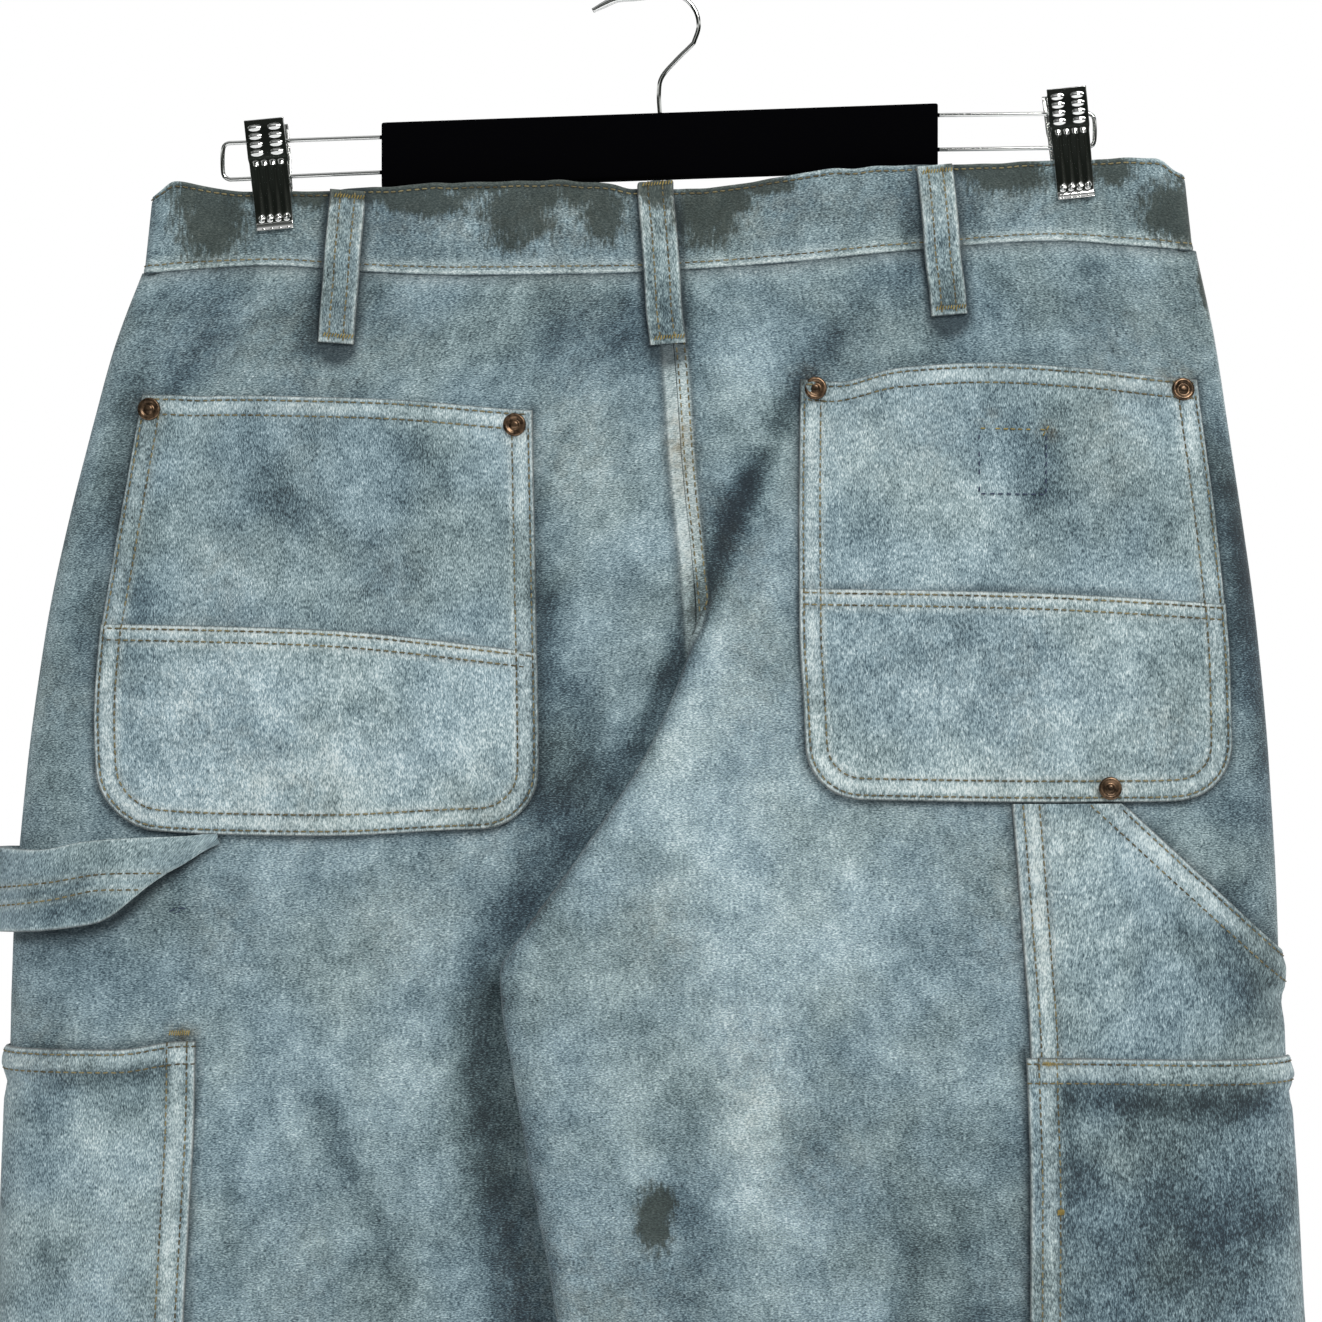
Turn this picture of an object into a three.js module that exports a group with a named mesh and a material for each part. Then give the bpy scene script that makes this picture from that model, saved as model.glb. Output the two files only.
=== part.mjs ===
// Carpenter cargo shorts on a chrome clip hanger. Millimetres, +Z up.
// The seat faces -Y and the fly faces +Y. The origin is the inside of the hook's crown, on which it all hangs.
// The wearer's right leg lies over the left one, so each half is one tube with its inner edge folded past the middle.
import * as THREE from 'three';

// ---- driving sizes ----
const WALL = 1.6;           // leg and pocket cloth, felled edges averaged in
const BAND_WALL = 2.8;      // waistband, two layers and its interlining
const GAP = 0.3;            // between pieces at a seam
const WAIST_Z = -113;       // mean height of the waistband's lower seam
const HEM_Z = -686;         // leg openings
const CROTCH_X = 17, CROTCH_Z = -419;
const LOOP_W = 15.5;        // belt loop width
const RIVET_D = 9.8;        // copper rivet cap
const BAR = { x0: -121.5, x1: 117, z0: -55, z1: -46.7, h: 28, y: 10 };
const WIRE_D = 1.8, HOOK_D = 1.9;
const CLIP_W = 17, CLIP_L = 47, PLATE = 1.2;

// ---- sections of the two halves, from the waist seam to the hem ----
// z, seam x y, under-layer x y, inner fold x y half-depth, near-layer y at 0.2 0.5 0.82 of the way out,
// outer edge x y half-depth, far-layer y at 0.82 0.5 0.2, closing seam x y
const RIGHT = [
  [-113, -1, -11, 8, -11, 18, -11, 0.1, -11, -8, -2.9, 227.5, 0, 4.2, 2.9, 8, 11, 0, 11],
  [-150, 4, -13, 13, -13, 27, -13.5, 0.3, -14, -13, -9, 235, 0, 7, 9, 13, 13, 3, 13],
  [-200, 7.5, -14, 18, -14, 40, -15.5, 0.8, -18, -18, -13, 243, 0, 10, 14, 17, 15, 7, 13],
  [-245, 12, -12.5, 17, -12.5, 27, -15.5, 3.5, -22, -21, -16, 250, 0, 12, 16, 18, 14, 11, 11.5],
  [-272, 14.6, -11.8, 15.2, -12.8, 15.5, -17, 5, -24, -22, -17, 253.5, 0, 13, 17, 18, 13, 13.6, 9.4],
  [-320, 16.5, -8.4, 6, -10, -4, -18, 6.2, -26, -24, -18, 258, 0, 14, 19, 18, 11, 16.5, 6.2],
  [-370, 17, -5.8, -10, -9, -36, -19, 7.5, -28, -26, -20, 261, 0, 15, 21, 16, 7, 17, 3.2],
  [-402, 17, -3.6, -18, -8, -59.5, -20, 8, -30, -28, -22, 262.4, 0, 15, 22, 15, 4, 17, 1.1],
  [-419, 17, -2.6, -22, -8, -69.5, -20.5, 8, -31, -29, -23, 263, 0, 15.5, 23, 14, 2, 17, -2.6],
  [-480, 17, -3.6, -20, -8, -61, -21, 8.5, -32, -30, -24, 266, 0, 16, 24, 16, 3, 17, -3.6],
  [-550, 18, -4, -14, -8, -48, -21, 9, -33, -31, -25, 270, 0, 16.5, 25, 18, 4, 18, -4],
  [-620, 19, -4, -8, -8, -36.5, -21, 9.5, -34, -32, -26, 274, 0, 17, 26, 20, 5, 19, -4],
  [-686, 20, -4, -3, -8, -26.5, -21, 10, -34, -33, -27, 277, 0, 17, 27, 21, 6, 20, -4],
];
const LEFT = [
  [-113, 0, 11, -9, 11, -18, 11, 0.1, 11, 8, 2.9, -224.5, 0, 3.5, -2.9, -8, -11, -1, -11],
  [-150, 3, 13, -7, 13, -22, 13.5, 0.3, 14, 13, 9, -237, 0, 7, -9, -13, -13, 4, -13],
  [-200, 7, 13, -4, 13, -40, 15.5, 0.8, 18, 18, 13, -250, 0, 10, -14, -17, -14.5, 7.5, -14],
  [-245, 11, 11.5, 3, 12, -34, 16, 3, 22, 21, 16, -260.5, 0, 12, -16, -18, -13.5, 12, -12.5],
  [-272, 13.6, 9.4, 8, 10.5, -26, 17, 4.5, 24, 22, 17, -265.5, 0, 13, -17, -18.5, -13, 13.9, -9.6],
  [-320, 16.5, 8.4, 13, 9.5, -6, 18, 6.2, 26, 24, 18, -272, 0, 14, -19, -18, -11, 16.5, -6.2],
  [-370, 17, 5.8, 24, 8.5, 22, 19, 7.5, 28, 26, 20, -276.5, 0, 15, -21, -16.5, -8, 17, -3.2],
  [-402, 17, 3.6, 32, 8, 44, 20, 8, 30, 28, 22, -278.8, 0, 15, -22, -15, -6, 17, -1.1],
  [-419, 17, 2.6, 36, 8, 54, 20.5, 8, 31, 29, 23, -279.5, 0, 15.5, -23, -14, -4, 17, 2.6],
  [-480, 5, 3.6, 26, 8, 47, 21, 8.5, 32, 30, 24, -281.7, 0, 16, -24, -15, -3, 5, 3.6],
  [-550, -8, 4, 15, 8, 37, 21, 9, 33, 31, 25, -284, 0, 16.5, -25, -17, -3, -8, 4],
  [-620, -19, 4, 4, 8, 26, 21, 9.5, 34, 32, 26, -286, 0, 17, -26, -19, -3, -19, 4],
  [-686, -30, 4, -6, 8, 15, 21, 10, 34, 33, 27, -288, 0, 17, -27, -20, -3, -30, 4],
];
// the waistband's lower seam and its top edge, x then z, as the clips and the bar hold them
const SEAM = [[-226, -119.5], [-171, -116.3], [-130, -119], [-84, -120.8], [-28, -120.4], [12, -118.5],
  [51, -115.7], [107, -110], [170, -105.8], [197, -107.5], [229, -109.7]];
const TOP = [[-224, -82.5], [-213, -80.4], [-181, -84.3], [-159, -84.3], [-122, -83.4], [-84, -81.3], [-46, -80.8],
  [-23, -82.3], [-13, -84.7], [3, -84.9], [32, -82.3], [71, -76.1], [107, -74], [130, -73.1], [164, -71],
  [200, -70.3], [216, -70.5], [226, -73]];

// ---- small tools ----
const V = (x, y, z) => new THREE.Vector3(x, y, z);
const lerp = (a, b, t) => a + (b - a) * t;
const smooth = (a, b, x) => { const t = Math.min(1, Math.max(0, (x - a) / (b - a))); return t * t * (3 - 2 * t); };

// smooth curve through (x, y) pairs without overshoot
function through(pairs) {
  const n = pairs.length, h = [], d = [], m = [];
  for (let i = 0; i < n - 1; i++) {
    h.push(pairs[i + 1][0] - pairs[i][0]);
    d.push((pairs[i + 1][1] - pairs[i][1]) / h[i]);
  }
  for (let i = 0; i < n; i++) {
    if (i === 0 || i === n - 1) m.push(i ? d[n - 2] : d[0]);
    else m.push(d[i - 1] * d[i] <= 0 ? 0 : 2 * d[i - 1] * d[i] / (d[i - 1] + d[i]));
  }
  return (x) => {
    let i = 0;
    while (i < n - 2 && x > pairs[i + 1][0]) i++;
    const t = Math.min(1, Math.max(0, (x - pairs[i][0]) / h[i])), u = 1 - t;
    return pairs[i][1] * (1 + 2 * t) * u * u + m[i] * h[i] * t * u * u
      + pairs[i + 1][1] * t * t * (3 - 2 * t) - m[i + 1] * h[i] * t * t * u;
  };
}
const seamZ = through(SEAM), topZ = through(TOP);

// one half: its table's columns as curves of height
function half(rows, side) {
  const cols = rows[0].slice(1).map((_, k) => through(rows.map(r => [-r[0], r[k + 1]])));
  return { side, at: z => cols.map(c => c(-z)) };
}
const R = half(RIGHT, -1), L = half(LEFT, 1);

// the thirteen corners of a half's section, for a cubic spline
function corners(h, z) {
  const [xs, ys, xu, yu, xf, yf, hf, y1, y2, y3, xo, yo, ho, g3, g2, g1, xt, yt] = h.at(z);
  const s = h.side, b = k => lerp(xf, xo, k), g = k => lerp(xt, xo, k);
  const fx = (48 * xf - xu - b(0.2)) / 46, ox = (48 * xo - b(0.82) - g(0.82)) / 46;
  return [[xs, ys], [xu, yu], [fx, yf - s * hf], [fx, yf + s * hf], [b(0.2), y1], [b(0.5), y2], [b(0.82), y3],
    [ox, yo + s * ho], [ox, yo - s * ho], [g(0.82), g3], [g(0.5), g2], [g(0.18), g1], [xt, yt]];
}

// point on a half's cloth: q runs 0..12 round the section, z is the nominal height
function skin(h, q, z) {
  const c = corners(h, z), n = c.length;
  const i = Math.min(n - 2, Math.max(0, Math.floor(q))), t = q - i;
  const p = k => k < 0 ? [2 * c[0][0] - c[1][0], 2 * c[0][1] - c[1][1]]
    : k >= n ? [2 * c[n - 1][0] - c[n - 2][0], 2 * c[n - 1][1] - c[n - 2][1]] : c[k];
  const w = [(1 - t) ** 3 / 6, (3 * t ** 3 - 6 * t * t + 4) / 6, (-3 * t ** 3 + 3 * t * t + 3 * t + 1) / 6, t ** 3 / 6];
  let x = 0, y = 0;
  for (let k = 0; k < 4; k++) { const a = p(i - 1 + k); x += w[k] * a[0]; y += w[k] * a[1]; }
  return V(x, y, z + tilt(x, y, z));
}
// how far the cloth is drawn from level by the hanger, dying out down the seat; the front waist sags a little more
function tilt(x, y, z) {
  const fade = 1 - smooth(-WAIST_Z, 340, -z);
  return (seamZ(x) - WAIST_Z - 12 * smooth(2, 10, y) * Math.exp(-((x / 80) ** 2))) * fade;
}
// unit normal pointing out of the tube
function out(h, q, z) {
  const e = 0.02, z0 = Math.max(HEM_Z, z - 1), z1 = Math.min(WAIST_Z, z + 1);
  const a = skin(h, Math.min(12, q + e), z).sub(skin(h, Math.max(0, q - e), z));
  const b = skin(h, q, z1).sub(skin(h, q, z0));
  return a.cross(b).normalize();
}
// the parameter at which the near (k=1) or far (k=-1) visible layer crosses x at nominal height z
function findQ(h, x, z, lo, hi) {
  const up = skin(h, hi, z).x > skin(h, lo, z).x;
  for (let k = 0; k < 40; k++) {
    const mid = (lo + hi) / 2;
    if ((skin(h, mid, z).x < x) === up) lo = mid; else hi = mid;
  }
  return (lo + hi) / 2;
}
// nominal height of a true height z at x
const nominal = (x, y, z) => {
  let n = z;
  for (let k = 0; k < 12; k++) n = z - tilt(x, y, n);
  return n;
};
// the seat-side point above (x, z) and its normal
function seat(x, z) {
  const h = x > seamX(z) ? R : L, n = nominal(x, -9, z);
  const q = h === R ? findQ(h, x, n, 2.6, 7.5) : findQ(h, x, n, 12, 7.5);
  return { p: skin(h, q, n), n: out(h, q, n) };
}
const seamX = through(RIGHT.map(r => [-r[0], r[1]]).filter(r => r[0] < 380));
// the fly-side point at (x, z)
function fly(x, z) {
  const h = x > 3 ? R : L, n = nominal(x, 9, z);
  const q = h === R ? findQ(h, x, n, 12, 7.5) : findQ(h, x, n, 0, 7.5);
  return { p: skin(h, q, n), n: out(h, q, n) };
}

// closed sheet from a grid of {p, n}: faces at offset lo and hi along the normals
function sheet(name, material, grid, lo, hi) {
  const nu = grid.length, nv = grid[0].length, pos = [], idx = [];
  for (const off of [hi, lo]) {
    for (const col of grid) for (const { p, n } of col) pos.push(p.x + n.x * off, p.y + n.y * off, p.z + n.z * off);
  }
  const at = (f, i, j) => f * nu * nv + i * nv + j;
  const quad = (a, b, c, d) => idx.push(a, b, c, a, c, d);
  for (let i = 0; i < nu - 1; i++) for (let j = 0; j < nv - 1; j++) {
    quad(at(0, i, j), at(0, i + 1, j), at(0, i + 1, j + 1), at(0, i, j + 1));
    quad(at(1, i, j), at(1, i, j + 1), at(1, i + 1, j + 1), at(1, i + 1, j));
  }
  for (let i = 0; i < nu - 1; i++) {
    quad(at(0, i, 0), at(1, i, 0), at(1, i + 1, 0), at(0, i + 1, 0));
    quad(at(0, i, nv - 1), at(0, i + 1, nv - 1), at(1, i + 1, nv - 1), at(1, i, nv - 1));
  }
  for (let j = 0; j < nv - 1; j++) {
    quad(at(0, 0, j), at(0, 0, j + 1), at(1, 0, j + 1), at(1, 0, j));
    quad(at(0, nu - 1, j), at(1, nu - 1, j), at(1, nu - 1, j + 1), at(0, nu - 1, j + 1));
  }
  return solid(name, material, pos, idx);
}
// a mesh from positions and triangles, turned so that its volume is positive
function solid(name, material, pos, idx) {
  let vol = 0;
  const a = V(), b = V(), c = V();
  for (let i = 0; i < idx.length; i += 3) {
    a.fromArray(pos, idx[i] * 3); b.fromArray(pos, idx[i + 1] * 3); c.fromArray(pos, idx[i + 2] * 3);
    vol += a.dot(b.cross(c));
  }
  if (vol < 0) for (let i = 0; i < idx.length; i += 3) [idx[i], idx[i + 1]] = [idx[i + 1], idx[i]];
  const g = new THREE.BufferGeometry();
  g.setAttribute('position', new THREE.Float32BufferAttribute(pos, 3));
  g.setIndex(idx);
  return named(name, g, material);
}
function named(name, geometry, material) {
  const m = new THREE.Mesh(geometry, material);
  m.name = name;
  return m;
}

// ---- materials ----
const mat = (color, roughness, metalness = 0) => new THREE.MeshStandardMaterial({ color, roughness, metalness });
const cloth = () => mat(0x8297a0, 0.92);
const pocketCloth = () => mat(0x92a7af, 0.92);
const bandCloth = () => mat(0x7b8b8d, 0.92);
const copper = () => mat(0x8a5a3c, 0.45, 0.9);
const chrome = () => mat(0xcfd2d4, 0.12, 1);
const flock = () => mat(0x08080a, 0.95);
const paleCloth = () => mat(0x8a9ea6, 0.92);

// ---- panels ----
const ROWS = [-113, -135, -160, -190, -220, -248, -272, -296, -320, -345, -372, -395, -408, -419, -440, -475, -515, -560,
  -605, -646, -686];
// q0(z)..q1(z) is the stretch of the section that a panel covers; both ends stop half a gap short
function panel(name, h, cols, trim = null) {
  const grid = cols.map((q, i) => ROWS.map((z0, j) => {
    const z = j === 0 ? z0 - GAP : z0;
    let qq = trim ? trim(q, z) : q;
    const end = i === 0 ? 1 : i === cols.length - 1 ? -1 : 0;
    if (end) {
      const s = Math.sign(cols[cols.length - 1] - cols[0]) * end;
      const speed = skin(h, qq + s * 0.04, z).distanceTo(skin(h, qq, z)) / 0.04;
      qq += s * GAP * 0.6 / Math.max(speed, 1.2);
    }
    return { p: skin(h, qq, z), n: out(h, qq, z) };
  }));
  return sheet(name, cloth(), grid, -WALL / 2, WALL / 2);
}
const NEAR = [0, 0.6, 1.2, 1.8, 2.2, 2.4, 2.6, 2.85, 3.3, 4, 4.7, 5.4, 6, 6.5, 6.9, 7.15, 7.35];
const FAR = [12, 11.2, 10.4, 9.6, 9, 8.5, 8.1, 7.85, 7.65];
const OUTSEAM_R = 7.5, OUTSEAM_L = 7.0;   // the left outseam sits a little round onto the front

// the slant pocket opening takes the top outer corner off a front panel
function slant(h) {
  const from = h === R ? 8.85 : 6.15, to = h === R ? OUTSEAM_R : OUTSEAM_L;
  return z => lerp(from, to, smooth(0, 1, (WAIST_Z - z) / 150));
}
function frontRight() {
  const s = slant(R), cols = [...FAR, OUTSEAM_R];
  return panel('front_panel_right', R, cols, (q, z) => 12 - (12 - q) / (12 - OUTSEAM_R) * (12 - s(z)));
}
function frontLeft() {
  const s = slant(L), cols = [...NEAR.slice(0, 15), OUTSEAM_L];
  return panel('front_panel_left', L, cols, (q, z) => q <= 4 ? q : 4 + (q - 4) / (OUTSEAM_L - 4) * (s(z) - 4));
}
function facing(name, h) {
  const s = slant(h), end = h === R ? OUTSEAM_R + 0.42 : OUTSEAM_L - 0.2, lap = h === R ? 0.25 : -0.25;
  const rows = [-113.5, -135, -160, -190, -210, -226];
  const cols = [0, 0.2, 0.4, 0.6, 0.8, 1];
  const grid = cols.map(t => rows.map(z => {
    const q = lerp(s(z) + lap, end, t);
    return { p: skin(h, q, z), n: out(h, q, z) };
  }));
  return sheet(name, pocketCloth(), grid, -WALL / 2 - 2.5, -WALL / 2 - 1.3);
}
function flyShield() {
  const xs = [-24, -12, 0, 14], zs = [-136, -160, -185, -210, -232];
  const grid = xs.map(x => zs.map(z => {
    const { p } = fly(x, z);
    return { p, n: V(0, 1, 0) };
  }));
  return sheet('fly_shield', pocketCloth(), grid, -WALL / 2 - 3.4, -WALL / 2 - 1.6);
}

// ---- waistband ----
// its path round the waist: x, top y, bottom y; under-lap end first, over-lap end last
function bandPath() {
  const pts = [];
  const bottomY = (x, far) => {
    const h = x > 0 ? R : L, back = far < 0;
    const q = h === R ? (back ? findQ(R, x, WAIST_Z, 1, 7.5) : findQ(R, x, WAIST_Z, 12, 7.5))
      : (back ? findQ(L, x, WAIST_Z, 12, 7.5) : findQ(L, x, WAIST_Z, 1, 7.5));
    return skin(h, q, WAIST_Z).y;
  };
  const topY = through([[0, 10.5], [70, 10.5], [112, 9.3], [146, 2.9], [160, 1.9], [172, 1.8], [186, 1.9], [200, 2.7], [216, 3.4], [226, 3]]);
  const add = (x, far, lift = 0) => {
    const yb = bottomY(x, far) + lift, yt = far * topY(Math.abs(x)) + lift;
    pts.push([x, yt, yb, far]);
  };
  for (const x of [-20, 4, 30, 60, 90, 115, 135, 152, 166, 180, 196, 210, 219]) add(x, 1, x < 22 ? -1.2 : 0);
  pts.push([222.6, 3.4, 3.9, 1], [225, 1.6, 2, 1], [225.4, 0, 0, 0], [225, -1.6, -2, -1], [222.6, -3.4, -3.9, -1]);
  for (const x of [219, 210, 196, 180, 166, 152, 135, 115, 90, 60, 30, 0]) add(x, -1);
  for (const x of [-30, -60, -90, -115, -135, -152, -166, -180, -196, -208, -216]) add(x, -1);
  pts.push([-219.6, -3.4, -3.9, -1], [-222, -1.6, -2, -1], [-222.4, 0, 0, 0], [-222, 1.6, 2, 1], [-219.6, 3.4, 3.9, 1]);
  for (const x of [-216, -208, -196, -180, -166, -152, -135, -115, -90, -60, -34]) add(x, 1);
  add(-12, 1, 1.4); add(4, 1, 2.6); add(22, 1, 2.6);
  return pts;
}
function waistband() {
  const pts = bandPath(), N = pts.length;
  const top = pts.map(([x, yt, , s]) => V(x * (Math.abs(x) > 215 ? 0.984 : 1), yt,
    topZ(x) - 9 * (s > 0 ? Math.exp(-((x / 80) ** 2)) : 0)));
  const bot = pts.map(([x, , yb]) => V(x, yb, seamZ(x) - 12 * smooth(2, 10, yb) * Math.exp(-((x / 80) ** 2)) + 0.45));
  const grid = top.map((t, i) => {
    const a = top[Math.max(0, i - 1)], b = top[Math.min(N - 1, i + 1)];
    const along = b.clone().sub(a), down = t.clone().sub(bot[i]);
    const n = along.cross(down).normalize();
    return [0, 0.5, 1].map(w => {
      const p = t.clone().lerp(bot[i], w);
      if (w === 0.5) p.y = lerp(t.y, bot[i].y, 0.25);   // the clips hold the upper half flat
      return { p, n };
    });
  });
  return sheet('waistband', bandCloth(), grid, -BAND_WALL / 2, BAND_WALL / 2);
}

// ---- belt loops: a strap from over the band's top edge down onto the panel ----
function beltLoop(name, x0, x1, zTop, zBottom, front = false) {
  const cols = [-0.5, 0, 0.5].map(k => k * LOOP_W);
  const band = BAND_WALL / 2, s = front ? 1 : -1, on = front ? fly : seat;
  const place = (k, z) => {
    const t = (zTop - z) / (zTop - zBottom), x = lerp(x0, x1, t) + k;
    const seam = seamZ(x) - (front ? 12 * Math.exp(-((x / 80) ** 2)) : 0);
    const y0 = on(x, Math.min(z, seam - 0.8)).p.y, b = bandY(x, z, s);
    const w = smooth(seam - 7, seam + 3, z);
    const y = lerp(y0 + s * (WALL / 2), b + s * band, w);
    const bow = 3.2 * Math.sin(Math.PI * Math.min(1, Math.max(0, (t - 0.04) / 0.9))) ** 0.8;
    return V(x, y + s * (0.35 + bow), z);
  };
  const zs = [0, 0.04, 0.12, 0.3, 0.5, 0.7, 0.86, 0.94, 1].map(t => lerp(zTop, zBottom, t));
  const grid = cols.map(k => zs.map(z => ({ p: place(k, z), n: V(0, s, 0) })));
  return sheet(name, pocketCloth(), grid, 0, 1.8);
}
// middle of the band's wall on side s at (x, z)
const BAND = bandPath();
function bandY(x, z, s) {
  const pts = BAND.filter(p => p[3] === s && Math.abs(p[0]) < 221).sort((a, b) => a[0] - b[0]);
  let i = 0;
  while (i < pts.length - 2 && x > pts[i + 1][0]) i++;
  const t = Math.min(1, Math.max(0, (x - pts[i][0]) / (pts[i + 1][0] - pts[i][0] || 1)));
  const w = Math.min(1, Math.max(0, (topZ(x) - z) / (topZ(x) - seamZ(x))));
  return lerp(lerp(pts[i][1], pts[i + 1][1], t), lerp(pts[i][2], pts[i + 1][2], t), w < 0.5 ? w / 2 : 1.5 * w - 0.5);
}

// ---- patch pockets on the seat: left, right, top and bottom edges as curves, rounded lower corners ----
const POCKET_L = {
  left: through([[172, -223], [246, -235.6], [279, -240.8], [309, -242.5], [332, -241.5], [362, -239]]),
  right: through([[172, -56.5], [255, -55], [325, -54], [362, -55]]),
  top: through([[-245, -172.3], [-223, -172.5], [-122, -174.8], [-56, -179.3], [-50, -179.5]]),
  bottom: through([[-245, -356], [-191, -359.5], [-145, -360.2], [-83, -357.6], [-50, -357]]), r: 24,
  band: through([[-245, -270], [-150, -272.5], [-50, -282.5]]),
};
const POCKET_R = {
  left: through([[160, 57.6], [228, 56.8], [273, 56.8], [305, 58.5], [346, 60]]),
  right: through([[160, 226.5], [184, 229], [228, 235], [265, 238.7], [295, 240.4], [346, 240]]),
  top: through([[55, -166], [72, -166.6], [99, -161.8], [136, -159.4], [180, -161.7], [216, -165], [245, -167]]),
  bottom: through([[55, -344], [89, -344.8], [165, -345.9], [202, -345.9], [245, -344]]), r: 22,
  band: through([[55, -255.4], [150, -257], [245, -262]]),
};
function pocketGrid(P, zFrom, us, vs, grow = 0) {
  return us.map(u => vs.map(v => {
    let z = -260, x = 0;
    for (let k = 0; k < 8; k++) {
      const l = P.left(-z) - grow, r = P.right(-z) + grow;
      x = lerp(l, r, u);
      const w = r - l, d = Math.min(u, 1 - u) * w, R0 = P.r;
      const lift = d < R0 ? R0 - Math.sqrt(Math.max(0, R0 * R0 - (R0 - d) ** 2)) : 0;
      z = lerp(zFrom(x), P.bottom(x) - grow + lift, v);
    }
    return seat(x, z);
  }));
}
const EDGE_US = [0, 0.012, 0.045, 0.1, 0.2, 0.35, 0.5, 0.65, 0.8, 0.9, 0.955, 0.988, 1];
const LIFT = WALL / 2 + 0.45, PW = 1.5;
function backPocket(name, P) {
  return sheet(name, pocketCloth(), pocketGrid(P, P.top, EDGE_US, [0, 0.15, 0.3, 0.45, 0.6, 0.75, 0.88, 1]), LIFT, LIFT + PW);
}
function reinforcement(name, P) {
  const lo = LIFT + PW + 0.45;
  return sheet(name, pocketCloth(), pocketGrid(P, P.band, EDGE_US, [0, 0.25, 0.5, 0.75, 1]), lo, lo + 1.2);
}

// ---- leg pockets, running round the side in steps along the section ----
// inner edge x as a curve of height; the far edge is the outseam, less a hem's width
function legPocket(name, h, innerX, cols, zTop, zBottom, base, wall, rows) {
  const first = zTop(0, 0), x0 = innerX(-first), grid = cols.map(c => rows.map(v => {
    let z = lerp(first, zBottom, v), q = 0;
    for (let k = 0; k < 4; k++) {
      const xi = innerX(-z);
      const q0 = h === R ? findQ(R, xi, z, 2.6, 7.5) : findQ(L, xi, z, 12, 7.5);
      q = c < 1 ? lerp(q0, cols.find(k => k > 1), c) : c;
      const x = skin(h, q, z).x, t = Math.min(1, Math.abs(x - x0) / (Math.abs(skin(h, 7.5, z).x - x0) - 4));
      z = lerp(zTop(t, x), zBottom, v);
    }
    return { p: skin(h, q, z), n: out(h, q, z) };
  }));
  return sheet(name, pocketCloth(), grid, base, base + wall);
}
const LEG_R = [0, 0.5, 5.92, 6.2, 6.5, 6.9, 7.15, 7.35, 7.47];
function toolUpper() {
  const inner = through([[347, 146.5], [400, 150.5], [450, 154], [560, 155.5], [655, 153]]);
  const top = (t, x) => -347 - 0.92 * Math.max(0, x - 194);      // its opening falls away straight to the side
  return legPocket('tool_pocket_upper_right', R, inner, LEG_R, top, -650, LIFT + 0.12, PW,
    [0, 0.12, 0.25, 0.38, 0.52, 0.66, 0.83, 1]);
}
function toolLower() {
  const inner = through([[450, 152], [510, 153.5], [560, 153.5], [655, 151]]);
  const top = t => -453.5 - 1.5 * t, lo = LIFT + PW + 0.4;
  return legPocket('tool_pocket_lower_right', R, inner, LEG_R, top, -652, lo + 0.1, PW,
    [0, 0.17, 0.34, 0.5, 0.66, 0.83, 1]);
}
function sidePocket() {
  const inner = through([[447, -199], [480, -199.5], [530, -202], [570, -204], [650, -206]]);
  const top = t => -447 - 3.5 * smooth(0, 0.6, t);
  return legPocket('side_pocket_left', L, inner, [0, 0.5, 8.5, 8.1, 7.85, 7.65, 7.5, 7.33, 7.17, 7.04], top, -648, LIFT + 0.15,
    PW, [0, 0.17, 0.34, 0.5, 0.66, 0.83, 1]);
}

// ---- hammer loop: a doubled strap standing off the leg between the outseam and the pocket's lower edge ----
function hammerLoop() {
  const topEdge = through([[-284, -368], [-240, -363.8], [-222, -362.6], [-190, -361.8]]);
  const lowEdge = through([[-284, -403], [-260, -401.5], [-236, -397], [-218, -385], [-200, -371], [-190, -364.2]]);
  const rows = [0, 0.5, 1], grid = [];
  for (const q of [7.14, 7.3, 7.5, 7.75]) {
    grid.push(rows.map(v => {
      const z = lerp(-366, -402, v), t = (q - 7.14) / 0.9;
      return { p: skin(L, q, z).addScaledVector(out(L, q, z), LIFT + 10 * Math.sin(Math.PI * t / 2)), n: out(L, q, z) };
    }));
  }
  for (const x of [-264, -254, -242, -230, -218, -207, -198, -191]) {
    grid.push(rows.map(v => {
      const z = lerp(topEdge(x), lowEdge(x), v), s = seat(x, z);
      const off = LIFT + 10 * smooth(-196, -232, x) + 4 * smooth(-200, -225, x) * v;
      return { p: s.p.addScaledVector(s.n, off), n: s.n };
    }));
  }
  return sheet('hammer_loop', pocketCloth(), grid, 0, 2.2);
}

// ---- rivets and the button: turned solids on the pocket corners ----
function turned(name, material, profile, p, n) {
  const g = new THREE.LatheGeometry(profile.map(a => new THREE.Vector2(a[0], a[1])), 16);
  g.applyQuaternion(new THREE.Quaternion().setFromUnitVectors(V(0, 1, 0), n));
  g.translate(p.x, p.y, p.z);
  return named(name, g, material);
}
function rivet(name, x, z, layers) {
  const s = seat(x, z), r = RIVET_D / 2;
  const p = s.p.clone().addScaledVector(s.n, LIFT + PW + 0.3 + layers * 1.7);
  const prof = [[0, 0], [r, 0], [r, 0.8], [r * 0.8, 1.7], [r * 0.5, 1.5], [r * 0.45, 2.1], [0, 2.3]];
  return turned(name, copper(), prof, p, s.n);
}
function waistButton() {
  const prof = [[0, 0], [3.5, 0], [3.5, 1.2], [8.2, 1.6], [8.5, 3], [7, 4.2], [0, 4.4]];
  return turned('waist_button', copper(), prof, V(5, 15.5, -113), V(0, 1, 0));
}

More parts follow.
